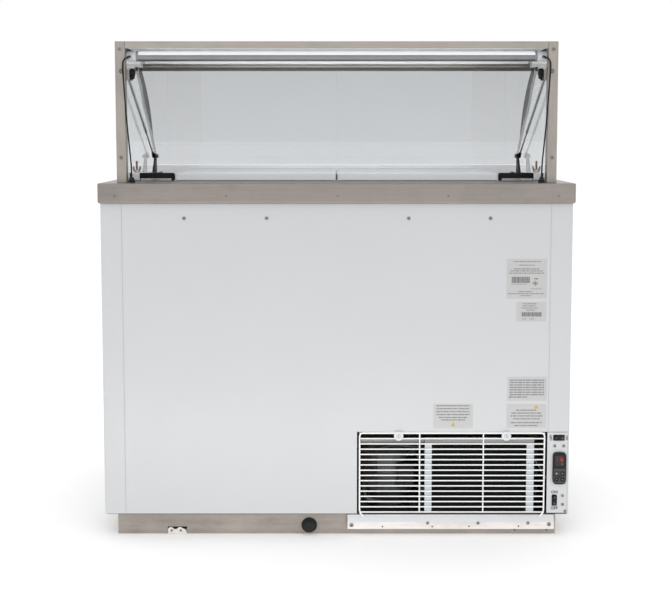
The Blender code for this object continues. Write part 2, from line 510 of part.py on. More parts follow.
for ob in bpy.data.objects:
    if ob.type == 'MESH' and not ob.hide_render and any(k in ob.name for k in ("cap", "lamp_tube", "strut", "stud", "compressor", "motor", "curved", "gland")):
        ob.data.shade_smooth()
        ob.data.set_sharp_from_angle(angle=radians(40))
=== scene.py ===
"""Looks of the chest freezer with a glass canopy: materials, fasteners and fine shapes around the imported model."""
from math import sin, cos, pi, radians, atan2, hypot

import bpy
import bmesh
from mathutils import Vector, Matrix


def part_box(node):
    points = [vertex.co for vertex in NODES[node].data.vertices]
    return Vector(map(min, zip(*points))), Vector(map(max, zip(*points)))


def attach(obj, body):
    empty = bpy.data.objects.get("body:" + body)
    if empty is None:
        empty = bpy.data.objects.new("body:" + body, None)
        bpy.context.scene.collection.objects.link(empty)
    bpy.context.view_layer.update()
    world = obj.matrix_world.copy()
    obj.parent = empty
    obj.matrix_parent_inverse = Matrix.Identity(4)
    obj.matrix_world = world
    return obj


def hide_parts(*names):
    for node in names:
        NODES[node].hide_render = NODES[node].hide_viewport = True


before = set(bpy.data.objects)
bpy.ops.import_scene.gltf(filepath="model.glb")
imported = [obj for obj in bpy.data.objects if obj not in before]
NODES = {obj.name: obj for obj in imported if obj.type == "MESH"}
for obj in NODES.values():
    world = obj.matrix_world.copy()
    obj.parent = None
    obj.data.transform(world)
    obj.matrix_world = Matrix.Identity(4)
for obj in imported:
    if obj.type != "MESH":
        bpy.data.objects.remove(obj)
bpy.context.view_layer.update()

# =====================================================================================
# materials
# =====================================================================================


def new_mat(name):
    m = bpy.data.materials.new(name)
    m.use_nodes = True
    nt = m.node_tree
    return m, nt, nt.nodes["Principled BSDF"]


def coords(nt, scale):
    tc = nt.nodes.new("ShaderNodeTexCoord")
    mp = nt.nodes.new("ShaderNodeMapping")
    mp.inputs["Scale"].default_value = scale
    nt.links.new(tc.outputs["Object"], mp.inputs["Vector"])
    return mp.outputs["Vector"]


def noise(nt, scale, vec_scale=(1, 1, 1), detail=3, rough=0.55):
    n = nt.nodes.new("ShaderNodeTexNoise")
    n.inputs["Scale"].default_value = scale
    n.inputs["Detail"].default_value = detail
    n.inputs["Roughness"].default_value = rough
    nt.links.new(coords(nt, vec_scale), n.inputs["Vector"])
    return n.outputs["Fac"]


def ramp(nt, fac, stops):
    r = nt.nodes.new("ShaderNodeValToRGB")
    e = r.color_ramp.elements
    while len(e) < len(stops):
        e.new(0.5)
    for el, (p, c) in zip(e, stops):
        el.position = p
        el.color = (*c, 1)
    nt.links.new(fac, r.inputs["Fac"])
    return r.outputs["Color"]


def rng(nt, fac, lo, hi, f0=0.3, f1=0.7):
    m = nt.nodes.new("ShaderNodeMapRange")
    m.inputs["From Min"].default_value = f0
    m.inputs["From Max"].default_value = f1
    m.inputs["To Min"].default_value = lo
    m.inputs["To Max"].default_value = hi
    nt.links.new(fac, m.inputs["Value"])
    return m.outputs["Result"]


def mult(nt, a, b, fac=1.0, mode='MULTIPLY'):
    x = nt.nodes.new("ShaderNodeMix")
    x.data_type = 'RGBA'
    x.blend_type = mode
    if isinstance(fac, (int, float)):
        x.inputs["Factor"].default_value = fac
    else:
        nt.links.new(fac, x.inputs["Factor"])
    nt.links.new(a, x.inputs["A"])
    if isinstance(b, tuple):
        x.inputs["B"].default_value = (*b, 1)
    else:
        nt.links.new(b, x.inputs["B"])
    return x.outputs["Result"]


def bump(nt, pairs):
    """Chain (height, strength, distance) into one normal."""
    out = None
    for h, s, d in pairs:
        b = nt.nodes.new("ShaderNodeBump")
        b.inputs["Strength"].default_value = s
        b.inputs["Distance"].default_value = d
        nt.links.new(h, b.inputs["Height"])
        if out is not None:
            nt.links.new(out, b.inputs["Normal"])
        out = b.outputs["Normal"]
    return out


def steel(name, along='X', light=(0.47, 0.435, 0.40), dark=(0.355, 0.33, 0.305), warm=(0.44, 0.35, 0.30), rough=(0.30, 0.46), grain=0.10):
    """Brushed stainless: fine scratches along one axis, cloudy tone and faint warm stains."""
    m, nt, b = new_mat(name)
    st = {'X': (1.2, 90, 90), 'Y': (90, 1.2, 90), 'Z': (90, 90, 1.2)}[along]
    st2 = {'X': (0.9, 60, 60), 'Y': (60, 0.9, 60), 'Z': (60, 60, 0.9)}[along]
    g = noise(nt, 9, st, 4, 0.7)
    g2 = noise(nt, 5, st2, 3, 0.6)
    cl = noise(nt, 5.5, {'X': (1, 1.7, 1.7), 'Y': (1.7, 1, 1.7), 'Z': (1.7, 1.7, 1)}[along], 5, 0.65)
    col = ramp(nt, cl, [(0.30, dark), (0.52, light), (0.78, warm)])
    col = mult(nt, col, ramp(nt, g, [(0.25, (0.88, 0.88, 0.88)), (0.75, (1.06, 1.06, 1.06))]), 0.9)
    col = mult(nt, col, ramp(nt, g2, [(0.3, (0.94, 0.94, 0.94)), (0.7, (1.03, 1.03, 1.02))]), 0.8)
    nt.links.new(col, b.inputs["Base Color"])
    b.inputs["Metallic"].default_value = 1.0
    nt.links.new(rng(nt, g, rough[0], rough[1]), b.inputs["Roughness"])
    nt.links.new(bump(nt, [(g, grain, 0.0006), (g2, 0.05, 0.001)]), b.inputs["Normal"])
    return m


def paint(name, col=(0.548, 0.557, 0.569), rough=0.36, peel=0.06, soil=(0.93, 0.92, 0.90), scale=1.0):
    """Sprayed enamel on sheet: orange peel, a slow drift of tone, faint scuffs."""
    m, nt, b = new_mat(name)
    big = noise(nt, 1.6, (1, 1, 1), 3, 0.5)
    scuff = noise(nt, 26, (1, 1, 0.35), 6, 0.75)
    fine = noise(nt, 420 * scale, (1, 1, 1), 2, 0.5)
    lo = tuple(c * 0.965 for c in col)
    c = ramp(nt, big, [(0.3, lo), (0.7, col)])
    c = mult(nt, c, ramp(nt, scuff, [(0.66, (1, 1, 1)), (0.80, soil)]), 1.0)
    nt.links.new(c, b.inputs["Base Color"])
    nt.links.new(rng(nt, scuff, rough - 0.05, rough + 0.14), b.inputs["Roughness"])
    nt.links.new(bump(nt, [(fine, peel, 0.0004), (big, 0.05, 0.004)]), b.inputs["Normal"])
    b.inputs["Coat Weight"].default_value = 0.15
    b.inputs["Coat Roughness"].default_value = 0.25
    return m


def plastic(name, col, rough=0.42, tex=0.18, scale=900, dust=0.25, spec=0.5):
    """Moulded plastic: fine spark-eroded texture, dust that dulls it in patches."""
    m, nt, b = new_mat(name)
    f = noise(nt, scale, (1, 1, 1), 3, 0.6)
    d = noise(nt, 18, (1, 1, 1), 5, 0.65)
    up = tuple(min(1, c * (1 + dust) + 0.012 * dust * 4) for c in col)
    nt.links.new(ramp(nt, d, [(0.35, col), (0.75, up)]), b.inputs["Base Color"])
    nt.links.new(rng(nt, d, rough - 0.06, rough + 0.12), b.inputs["Roughness"])
    nt.links.new(bump(nt, [(f, tex, 0.0003)]), b.inputs["Normal"])
    b.inputs["Specular IOR Level"].default_value = spec
    return m


def mottled(name, a, b_, c_, rough=(0.45, 0.65), metal=0.0, scale=9, spots=(0.2, 0.15, 0.12)):
    """Galvanised or weathered sheet: patches of tone with small rust-coloured specks."""
    m, nt, b = new_mat(name)
    v = noise(nt, scale, (1, 1, 2.2), 6, 0.7)
    s = noise(nt, 95, (1, 1, 1), 3, 0.6)
    st = noise(nt, 3, (1, 1, 14), 4, 0.6)
    col = ramp(nt, v, [(0.30, a), (0.52, b_), (0.74, c_)])
    col = mult(nt, col, ramp(nt, st, [(0.35, (0.86, 0.85, 0.84)), (0.65, (1.06, 1.05, 1.04))]), 0.8)
    col = mult(nt, col, ramp(nt, s, [(0.74, (1, 1, 1)), (0.82, spots)]), 0.5)
    nt.links.new(col, b.inputs["Base Color"])
    b.inputs["Metallic"].default_value = metal
    nt.links.new(rng(nt, v, rough[0], rough[1]), b.inputs["Roughness"])
    nt.links.new(bump(nt, [(v, 0.12, 0.001), (s, 0.10, 0.0004)]), b.inputs["Normal"])
    return m


def glass(name, tint=(0.86, 0.895, 0.90), ior=1.45):
    """Clear float glass with a faint film of smears, and a tint painted lighter towards the bottom of the pane as
    painted light.
    """
    m, nt, b = new_mat(name)
    sm = noise(nt, 7, (1, 1, 2.5), 5, 0.6)
    wv = noise(nt, 3.0, (1, 1, 1), 2, 0.5)
    # painted light: the tint is lifted about 13 percent low on the pane and fades to the plain tint higher up; the film
    # noise only wobbles that boundary
    lum = nt.nodes.new("ShaderNodeSeparateXYZ")
    nt.links.new(coords(nt, (1, 1, 1)), lum.inputs["Vector"])
    film = noise(nt, 2.2, (1, 1, 3), 3, 0.5)
    h = nt.nodes.new("ShaderNodeMath")
    h.operation = 'MULTIPLY_ADD'
    h.inputs[1].default_value = 0.10
    nt.links.new(film, h.inputs[0])
    nt.links.new(lum.outputs["Z"], h.inputs[2])
    nt.links.new(ramp(nt, rng(nt, h.outputs[0], 0, 1, 0.93, 1.28), [(0.05, tuple(c * 1.13 for c in tint)), (0.95, tint)]), b.inputs["Base Color"])
    b.inputs["Transmission Weight"].default_value = 1.0
    b.inputs["IOR"].default_value = ior
    nt.links.new(rng(nt, sm, 0.0, 0.045, 0.45, 0.75), b.inputs["Roughness"])
    nt.links.new(bump(nt, [(wv, 0.02, 0.002)]), b.inputs["Normal"])
    return m


def copper(name):
    m, nt, b = new_mat(name)
    v = noise(nt, 30, (1, 1, 1), 4, 0.6)
    nt.links.new(ramp(nt, v, [(0.3, (0.42, 0.17, 0.09)), (0.6, (0.72, 0.36, 0.22)), (0.8, (0.30, 0.16, 0.10))]), b.inputs["Base Color"])
    b.inputs["Metallic"].default_value = 1.0
    nt.links.new(rng(nt, v, 0.22, 0.45), b.inputs["Roughness"])
    nt.links.new(bump(nt, [(v, 0.08, 0.0005)]), b.inputs["Normal"])
    return m


def foam(name):
    m, nt, b = new_mat(name)
    v = nt.nodes.new("ShaderNodeTexVoronoi")
    v.inputs["Scale"].default_value = 260
    nt.links.new(coords(nt, (1, 1, 1)), v.inputs["Vector"])
    d = noise(nt, 12, (1, 1, 1), 5, 0.6)
    nt.links.new(ramp(nt, d, [(0.3, (0.72, 0.60, 0.36)), (0.7, (0.84, 0.74, 0.50))]), b.inputs["Base Color"])
    b.inputs["Roughness"].default_value = 0.85
    nt.links.new(bump(nt, [(v.outputs["Distance"], 0.4, 0.001)]), b.inputs["Normal"])
    return m


def opal(name, col, rough=0.28, glow=0.0):
    m, nt, b = new_mat(name)
    v = noise(nt, 5, (0.4, 6, 6), 4, 0.6)
    nt.links.new(ramp(nt, v, [(0.3, tuple(c * 0.95 for c in col)), (0.7, col)]), b.inputs["Base Color"])
    nt.links.new(rng(nt, v, rough - 0.05, rough + 0.08), b.inputs["Roughness"])
    b.inputs["Subsurface Weight"].default_value = 0.05
    b.inputs["Emission Color"].default_value = (1, 1, 1, 1)
    b.inputs["Emission Strength"].default_value = glow
    return m


M = dict(
    rim=steel("stainless_rim", 'X', (0.324, 0.293, 0.271), (0.271, 0.249, 0.232), (0.310, 0.259, 0.233)),
    hinge=steel("stainless_hinge", 'X', (0.66, 0.64, 0.61), (0.56, 0.545, 0.52), (0.62, 0.58, 0.54)),
    seal=plastic("glass_seal", (0.115, 0.118, 0.120), 0.55, 0.10, 600, 0.2),
    post=steel("stainless_post", 'Z', (0.395, 0.366, 0.335), (0.325, 0.302, 0.276), (0.372, 0.315, 0.280)),
    shelf=steel("stainless_shelf", 'X', (0.43, 0.395, 0.350), (0.37, 0.342, 0.304), (0.41, 0.350, 0.305)),
    cheek=steel("stainless_cheek", 'Z', (0.185, 0.19, 0.18), (0.15, 0.152, 0.148), (0.175, 0.17, 0.16), (0.38, 0.52)),
    screw=steel("stainless_screw", 'X', (0.30, 0.285, 0.27), (0.22, 0.21, 0.20), (0.27, 0.24, 0.22), (0.22, 0.38), 0.06),
    wing=steel("stainless_wing", 'X', (0.50, 0.445, 0.41), (0.40, 0.355, 0.325), (0.46, 0.38, 0.34), (0.24, 0.38), 0.05),
    rod=steel("polished_rod", 'Y', (0.66, 0.66, 0.66), (0.55, 0.55, 0.55), (0.60, 0.59, 0.58), (0.12, 0.24), 0.03),
    white=paint("white_enamel"),
    plate=paint("white_enamel_plate", (0.57, 0.58, 0.59), 0.40),
    railpale=paint("bottom_rail_coating_painted_glow", (0.88, 0.90, 0.93), 0.34, 0.04, (0.92, 0.92, 0.92)),
    guard=paint("guard_coating", (0.87, 0.88, 0.885), 0.30, 0.05, (0.86, 0.84, 0.80), 2.0),
    flange=paint("flange_paint", (0.52, 0.56, 0.59), 0.42, 0.05, (0.80, 0.78, 0.74)),
    tank=paint("tank_coating", (0.66, 0.675, 0.69), 0.45, 0.10),
    lid=plastic("lid_moulding", (0.76, 0.785, 0.81), 0.34, 0.10, 700, 0.04),
    collar=plastic("collar_moulding", (0.62, 0.64, 0.66), 0.38, 0.10, 700, 0.04),
    plinth=mottled("plinth_sheet", (0.255, 0.228, 0.204), (0.330, 0.298, 0.268), (0.405, 0.360, 0.322), (0.42, 0.62), 0.35),
    rail=mottled("tray_rail_sheet", (0.66, 0.63, 0.605), (0.78, 0.75, 0.73), (0.83, 0.81, 0.79), (0.34, 0.52), 0.10, 11, (0.45, 0.30, 0.22)),
    strip=mottled("grey_sheet", (0.18, 0.18, 0.175), (0.26, 0.26, 0.25), (0.33, 0.32, 0.31), (0.4, 0.6), 0.6),
    black=plastic("black_moulding", (0.009, 0.009, 0.010), 0.42, 0.18, 900, 0.15, 0.22),
    blackmetal=plastic("black_powder_coat", (0.007, 0.007, 0.008), 0.50, 0.25, 600, 0.15, 0.20),
    shell=plastic("compressor_paint", (0.016, 0.017, 0.018), 0.34, 0.30, 240, 0.8),
    fin=mottled("fin_stock", (0.008, 0.008, 0.009), (0.016, 0.016, 0.018), (0.035, 0.034, 0.034), (0.45, 0.70), 0.4, 60, (0.3, 0.3, 0.3)),
    rubber=plastic("rubber", (0.010, 0.010, 0.014), 0.66, 0.22, 500, 0.2, 0.18),
    tube=steel("strut_tube_plate", 'Y', (0.62, 0.63, 0.64), (0.52, 0.53, 0.54), (0.57, 0.57, 0.56), (0.16, 0.30), 0.03),
    glass=glass("clear_glass", (0.545, 0.560, 0.574)),
    pane=glass("side_glass", (0.66, 0.68, 0.69)),
    lens=opal("lamp_lens", (0.80, 0.82, 0.84), 0.28, 0.22),
    lampbody=steel("lamp_housing_painted_shade", 'X', (0.27, 0.28, 0.285), (0.225, 0.23, 0.235), (0.26, 0.26, 0.26), (0.34, 0.5), 0.05),
    copper=copper("copper_tube"),
    foam=foam("insulating_foam"),
    seam=plastic("seam_sealant", (0.43, 0.44, 0.45), 0.6, 0.1, 500, 0.05),
    label=paint("label_film", (0.485, 0.483, 0.480), 0.5, 0.02, (0.9, 0.9, 0.9)),
    ink=plastic("label_ink", (0.075, 0.075, 0.080), 0.6, 0.05, 900, 0.4),
    yellow=plastic("label_yellow", (0.50, 0.36, 0.035), 0.5, 0.05, 900, 0.1),
    # near-black used for real print, and as painted shade on screw recesses and holes
    mark=plastic("print_and_painted_shade", (0.035, 0.035, 0.038), 0.55, 0.05, 900, 0.2),
    window=plastic("display_window", (0.020, 0.006, 0.006), 0.12, 0.02, 900, 0.1),
    icon=plastic("key_icon", (0.22, 0.23, 0.24), 0.5, 0.05, 900, 0.1),
    brass=copper("brass_end"),
)
dm, dnt, db = new_mat("display_digit")
db.inputs["Base Color"].default_value = (0.55, 0.02, 0.01, 1)
db.inputs["Emission Color"].default_value = (1.0, 0.05, 0.02, 1)
db.inputs["Emission Strength"].default_value = 0.22
dn = noise(dnt, 400, (1, 1, 1), 2)
dnt.links.new(rng(dnt, dn, 0.2, 0.4), db.inputs["Roughness"])
M["digit"] = dm
# the pan is pale where it shows as the tray rail, and painted near-black above that height as painted shade under the
# machinery
pm = M["pan"] = mottled("pan_sheet_painted_shade", (0.66, 0.63, 0.605), (0.78, 0.75, 0.73), (0.83, 0.81, 0.79), (0.34, 0.52), 0.10, 11, (0.45, 0.30, 0.22))
pnt = pm.node_tree
pb = next(n for n in pnt.nodes if n.type == 'BSDF_PRINCIPLED')
pc = pb.inputs["Base Color"].links[0].from_socket
ps = pnt.nodes.new("ShaderNodeSeparateXYZ")
pnt.links.new(coords(pnt, (1, 1, 1)), ps.inputs["Vector"])
# painted shade: above z 0.0535 the colour is multiplied down to about 3.5 percent
pd = ramp(pnt, rng(pnt, ps.outputs["Z"], 0, 1, 0.0512, 0.0535), [(0.0, (1, 1, 1)), (1.0, (0.035, 0.034, 0.033))])
pnt.links.new(mult(pnt, pc, pd, 1.0), pb.inputs["Base Color"])


def assign(name, mat):
    o = NODES[name]
    o.data.materials.clear()
    o.data.materials.append(M[mat])


CAD_LOOK = {
    "white": ["left_side_panel", "right_side_panel", "front_panel", "rear_panel"],
    "plate": ["control_plate"],
    "post": ["left_post", "right_post"],
    "shelf": ["top_shelf"],
    "railpale": ["glass_bottom_rail"],
    "hinge": ["glass_hinge_strip"],
    "cheek": ["left_glass_cheek", "right_glass_cheek"],
    "wing": ["left_wing_nut", "right_wing_nut"],
    "rod": ["left_strut_rod", "right_strut_rod"],
    "tube": ["left_strut_tube", "right_strut_tube"],
    "blackmetal": ["left_strut_bracket", "right_strut_bracket", "left_clamp_strap", "right_clamp_strap", "fan_shroud", "fan_motor"],
    "shell": ["compressor"],
    "black": ["drain_cap", "left_lead_gland", "right_lead_gland", "controller", "set_button", "up_button",
              "defrost_button", "down_button", "power_switch", "light_switch", "fan_blade"],
    "rubber": ["left_lamp_lead", "right_lamp_lead"],
    "glass": ["curved_front_glass"],
    "pane": ["left_side_glass", "right_side_glass"],
    "tank": ["inner_liner"],
    "collar": ["opening_collar", "left_lamp_cap", "right_lamp_cap"],
    "lid": ["left_front_lid", "left_rear_lid", "right_front_lid", "right_rear_lid"],
    "plinth": ["base_frame"],
    "pan": ["floor_pan"],
    "flange": ["condenser_frame"],
    "foam": ["insulation_foam"],
    "copper": ["evaporator_tube"],
}
for look, names in CAD_LOOK.items():
    for n in names:
        assign(n, look)


def soften(names, width, seg=2, angle=35):
    for n in names:
        m = NODES[n].modifiers.new("edge", 'BEVEL')
        m.width = width
        m.segments = seg
        m.limit_method = 'ANGLE'
        m.angle_limit = radians(angle)
        m.harden_normals = False


def smooth(o, angle=35):
    if o.type == 'MESH':
        o.data.shade_smooth()
        o.data.set_sharp_from_angle(angle=radians(angle))


soften(["left_side_panel", "right_side_panel", "front_panel", "rear_panel", "control_plate", "condenser_frame"], 0.0005, 2)
soften(["left_post", "right_post", "top_shelf"], 0.0008, 2)
soften(["left_front_lid", "left_rear_lid", "right_front_lid", "right_rear_lid"], 0.0022, 3)
soften(["left_clamp_strap", "right_clamp_strap"], 0.0014, 3)
soften(["left_wing_nut", "right_wing_nut"], 0.0006, 2)
soften(["controller"], 0.0012, 3)
soften(["power_switch", "light_switch"], 0.0007, 2)
soften(["set_button", "up_button", "defrost_button", "down_button"], 0.0005, 2)
soften(["base_frame"], 0.0008, 2)
soften(["curved_front_glass", "left_side_glass", "right_side_glass"], 0.0006, 2, 60)
soften(["left_strut_bracket", "right_strut_bracket"], 0.0008, 2)
soften(["opening_collar"], 0.0012, 2)
for n, o in NODES.items():
    smooth(o, 32)
for n in ("curved_front_glass", "left_side_glass", "right_side_glass"):
    NODES[n].visible_shadow = False


# =====================================================================================
# mesh helpers: everything is made in world coordinates with the object at the origin
# =====================================================================================
def put(name, bm, mat, body="cabinet", bevel=0.0, seg=2, angle=35, sm=35):
    bmesh.ops.recalc_face_normals(bm, faces=bm.faces[:])
    me = bpy.data.meshes.new(name)
    bm.to_mesh(me)
    bm.free()
    o = bpy.data.objects.new(name, me)
    bpy.context.scene.collection.objects.link(o)
    me.materials.append(M[mat])
    if bevel:
        m = o.modifiers.new("edge", 'BEVEL')
        m.width = bevel
        m.segments = seg
        m.limit_method = 'ANGLE'
        m.angle_limit = radians(angle)
    smooth(o, sm)
    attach(o, body)
    return o


def add_box(bm, x0, x1, y0, y1, z0, z1, m=None):
    t = Matrix.Translation(((x0 + x1) / 2, (y0 + y1) / 2, (z0 + z1) / 2)) @ Matrix.Diagonal((abs(x1 - x0), abs(y1 - y0), abs(z1 - z0), 1))
    bmesh.ops.create_cube(bm, size=1, matrix=(m @ t) if m else t)
    return bm


def add_lathe(bm, prof, n, m):
    """Turned shape about local Z, placed by a matrix. Radius 0 makes a pole."""
    rows = []
    for r, h in prof:
        rows.append([bm.verts.new(m @ Vector((0, 0, h)))] if r == 0 else
                    [bm.verts.new(m @ Vector((r * cos(2 * pi * i / n), r * sin(2 * pi * i / n), h))) for i in range(n)])
    pairs = list(zip(rows, rows[1:]))
    if prof[0][0] > 0 and prof[-1][0] > 0:
        pairs.append((rows[-1], rows[0]))
    for a, b in pairs:
        for i in range(n):
            j = (i + 1) % n
            if len(a) == 1:
                bm.faces.new((a[0], b[i], b[j]))
            elif len(b) == 1:
                bm.faces.new((a[i], a[j], b[0]))
            else:
                bm.faces.new((a[i], a[j], b[j], b[i]))
    return bm


def add_prism(bm, pts, axis, a0, a1, m=None):
    def at(p, h):
        v = Vector({'Z': (p[0], p[1], h), 'Y': (p[0], h, p[1]), 'X': (h, p[0], p[1])}[axis])
        return m @ v if m else v
    lo = [bm.verts.new(at(p, a0)) for p in pts]
    hi = [bm.verts.new(at(p, a1)) for p in pts]
    bm.faces.new(lo)
    bm.faces.new(hi[::-1])
    n = len(pts)
    for i in range(n):
        j = (i + 1) % n
        bm.faces.new((lo[i], lo[j], hi[j], hi[i]))
    return bm


def spline(pts, per):
    out = []
    p = [Vector(q) for q in pts]
    p = [p[0] * 2 - p[1]] + p + [p[-1] * 2 - p[-2]]
    for i in range(1, len(p) - 2):
        for k in range(per):
            t = k / per
            a, b, c, d = p[i - 1], p[i], p[i + 1], p[i + 2]
            out.append(0.5 * ((2 * b) + (c - a) * t + (2 * a - 5 * b + 4 * c - d) * t * t + (3 * b - a - 3 * c + d) * t ** 3))
    out.append(p[-2])
    return out


def add_tube(bm, pts, r, n=10):
    """A round tube along points, with closed ends."""
    pts = [Vector(p) for p in pts]
    rings = []
    up = None
    for i, p in enumerate(pts):
        t = (pts[min(i + 1, len(pts) - 1)] - pts[max(i - 1, 0)]).normalized()
        if up is None:
            up = t.orthogonal().normalized()
        up = (up - t * up.dot(t)).normalized()
        side = t.cross(up)
        rings.append([bm.verts.new(p + (up * cos(2 * pi * k / n) + side * sin(2 * pi * k / n)) * r) for k in range(n)])
    for a, b in zip(rings, rings[1:]):
        for k in range(n):
            j = (k + 1) % n
            bm.faces.new((a[k], a[j], b[j], b[k]))
    bm.faces.new(rings[0][::-1])
    bm.faces.new(rings[-1])
    return bm


def rrect(x0, x1, z0, z1, r, seg=4):
    pts = []
    for ca, cb, t0 in ((x1 - r, z0 + r, -90), (x1 - r, z1 - r, 0), (x0 + r, z1 - r, 90), (x0 + r, z0 + r, 180)):
        for i in range(seg + 1):
            t = radians(t0 + 90 * i / seg)
            pts.append((ca + r * cos(t), cb + r * sin(t)))
    return pts


def facing(p, n):
    """Matrix whose local +Z points along n, at p."""
    return Matrix.Translation(p) @ Vector(n).to_track_quat('Z', 'Y').to_matrix().to_4x4()


def add_screw(bm, slots, p, n, r=0.004, h=0.0018, turn=0.4, pan=True):
    """A cross-recess screw head with its base at p. The recess blades go to a second bmesh and are coloured near-black
    as painted shade of the recess.
    """
    m = facing(p, n)
    if pan:
        prof = [(0, 0), (r, 0), (r, h * 0.35), (r * 0.93, h * 0.62), (r * 0.76, h * 0.86), (r * 0.5, h * 0.97), (r * 0.22, h), (r * 0.16, h * 0.55), (0, h * 0.5)]
    else:
        prof = [(0, 0), (r, 0), (r, h * 0.5), (r * 0.9, h * 0.9), (r * 0.62, h), (0, h)]
    add_lathe(bm, prof, 16, m)
    for k in (0, 1):
        q = m @ Matrix.Rotation(turn + k * pi / 2, 4, 'Z')
        add_box(slots, -r * 0.50, r * 0.50, -r * 0.10, r * 0.10, h * 0.55, h * 1.012, q)


def screws(name, places, r=0.004, h=0.0018, mat="screw", body="cabinet", pan=True):
    a, b = bmesh.new(), bmesh.new()
    for i, (p, n) in enumerate(places):
        add_screw(a, b, p, n, r, h, 0.35 + 0.9 * i, pan)
    put(name, a, mat, body, sm=40)
    put(name + "_recess_painted_shade", b, "mark", body)


YN, YP, XN, XP, ZP = (0, -1, 0), (0, 1, 0), (-1, 0, 0), (1, 0, 0), (0, 0, 1)

# =====================================================================================
# stainless top rim: one folded sheet with a rolled lower edge
# =====================================================================================
lo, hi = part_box("top_rim")
RX, RY, RZ0, RZ1 = hi.x, hi.y, lo.z, hi.z


def folded_rim():
    bm = bmesh.new()
    T = 0.0015
    IN = 0.0010                      # the skirt's face sits this far inside the model's box
    ox, oy0, oy1 = 0.428, -0.198, 0.238

    # section outward from the deck's edge: (inset from the outer face, z)
    sec = []
    R = 0.0035
    for i in range(6):
        t = radians(90 - 90 * i / 5)
        sec.append((IN + R - R * cos(t), RZ1 - R + R * sin(t)))
    sec.append((IN + 0.00015, RZ0 + 0.030))
    RL = 0.0052
    for i in range(7):
        t = radians(90 * i / 6)
        sec.append((IN + RL - RL * cos(t), RZ0 + RL - RL * sin(t)))
    for i in range(6, -1, -1):
        t = radians(90 * i / 6)
        sec.append((IN + RL - (RL - T) * cos(t), RZ0 + RL - (RL - T) * sin(t)))
    sec.append((IN + T + 0.0001, RZ0 + 0.030))
    sec.append((IN + T, RZ1 - R))
    sec.append((IN + R, RZ1 - T))
    # corner path
    CR = 0.010
    stations = []
    for sx, sy, t0 in ((1, -1, -90), (1, 1, 0), (-1, 1, 90), (-1, -1, 180)):
        for i in range(7):
            t = radians(t0 + 90 * i / 6)
            stations.append((sx, sy, cos(t), sin(t)))
    rings = []
    for sx, sy, c, s in stations:
        cx, cy = sx * (RX - CR), sy * (RY - CR)
        rings.append([bm.verts.new((cx + (CR - d) * c, cy + (CR - d) * s, z)) for d, z in sec])
    n = len(sec)
    for k in range(len(rings)):
        a, b = rings[k], rings[(k + 1) % len(rings)]
        for i in range(n - 1):
            bm.faces.new((a[i], b[i], b[i + 1], a[i + 1]))
    # deck: from the first ring row to the opening, and its underside
    def deck(row, z):
        outer = [r[row] for r in rings]
        inn = {}
        for key, (x, y) in {"a": (ox, oy0), "b": (ox, oy1), "c": (-ox, oy1), "d": (-ox, oy0)}.items():
            inn[key] = bm.verts.new((x, y, z))
        q = len(outer) // 4
        groups = [outer[i * q:(i + 1) * q] for i in range(4)]
        keys = "abcd"
        for i in range(4):
            g, v = groups[i], inn[keys[i]]
            for u, w in zip(g, g[1:]):
                bm.faces.new((u, w, v))
            nxt = groups[(i + 1) % 4][0]
            bm.faces.new((g[-1], nxt, inn[keys[(i + 1) % 4]], v))
        return [inn[k] for k in keys]
    top = deck(0, RZ1)
    under = deck(n - 1, RZ1 - T)
    for i in range(4):
        j = (i + 1) % 4
        bm.faces.new((top[i], top[j], under[j], under[i]))
    return bm


rim = put("top_rim_folded", folded_rim(), "rim", sm=50)
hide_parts("top_rim")

rim_x = [-.5548, -.2760, .0028, .2790, .5546]
screws("rim_screws_rear", [((x, -RY + .0010, .8734), YN) for x in rim_x], .0036, .0009)
screws("rim_screws_front", [((x, RY - .0010, .8734), YP) for x in (-.55, -.275, 0, .275, .55)], .0036, .0009)
screws("rim_screws_sides", [((s * (RX - .0010), y, .8734), (s, 0, 0)) for s in (-1, 1) for y in (-.26, 0, .26)], .0036, .0009)

# =====================================================================================
# rear: seams, screws, labels
# =====================================================================================
RY0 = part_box("rear_panel")[0].y
bm = bmesh.new()
add_box(bm, -.5409, -.5392, RY0 - .00035, RY0 + .0004, .0580, .8540)
add_box(bm, .5383, .5400, RY0 - .00035, RY0 + .0004, .2710, .8540)
put("panel_seams", bm, "seam")
screws("rear_panel_screws", [((x, RY0, .8167), YN) for x in (-.3830, -.1758, .1809, .3866)], .0046, .0024)


def label(name, x0, x1, z0, z1, bars, tri=None):
    b = add_prism(bmesh.new(), rrect(x0, x1, z0, z1, .0022, 4), 'Y', RY0 - .00022, RY0 - .00002)
    put(name, b, "label")
    # rows of plain strokes in word-like groups, no real characters
    ink = bmesh.new()
    words, k = (4, 7, 3, 6, 2, 8, 5, 3, 6), len(bars)
    for (u0, u1, v, t) in bars:
        x, end, zc = x0 + (x1 - x0) * u0, x0 + (x1 - x0) * u1, z0 + (z1 - z0) * v
        while x < end - t * .6:
            for q in range(words[k % 9]):
                w = t * (.42, .60, .34, .52)[(q + k) % 4]
                if x + w > end:
                    break
                h = t * (.62, .50, .58, .66, .48)[(q * 2 + k) % 5]
                add_box(ink, x, x + w, RY0 - .00030, RY0 - .00020, zc - h, zc + h)
                x += w + t * .20
            x += t * .55
            k += 1
    put(name + "_rules", ink, "ink")
    if tri:
        u, v, s = tri
        cx, cz = x0 + (x1 - x0) * u, z0 + (z1 - z0) * v
        b = add_prism(bmesh.new(), [(cx - s, cz - s * .8), (cx + s, cz - s * .8), (cx, cz + s)], 'Y', RY0 - .00034, RY0 - .00020)
        put(name + "_patch", b, "yellow")


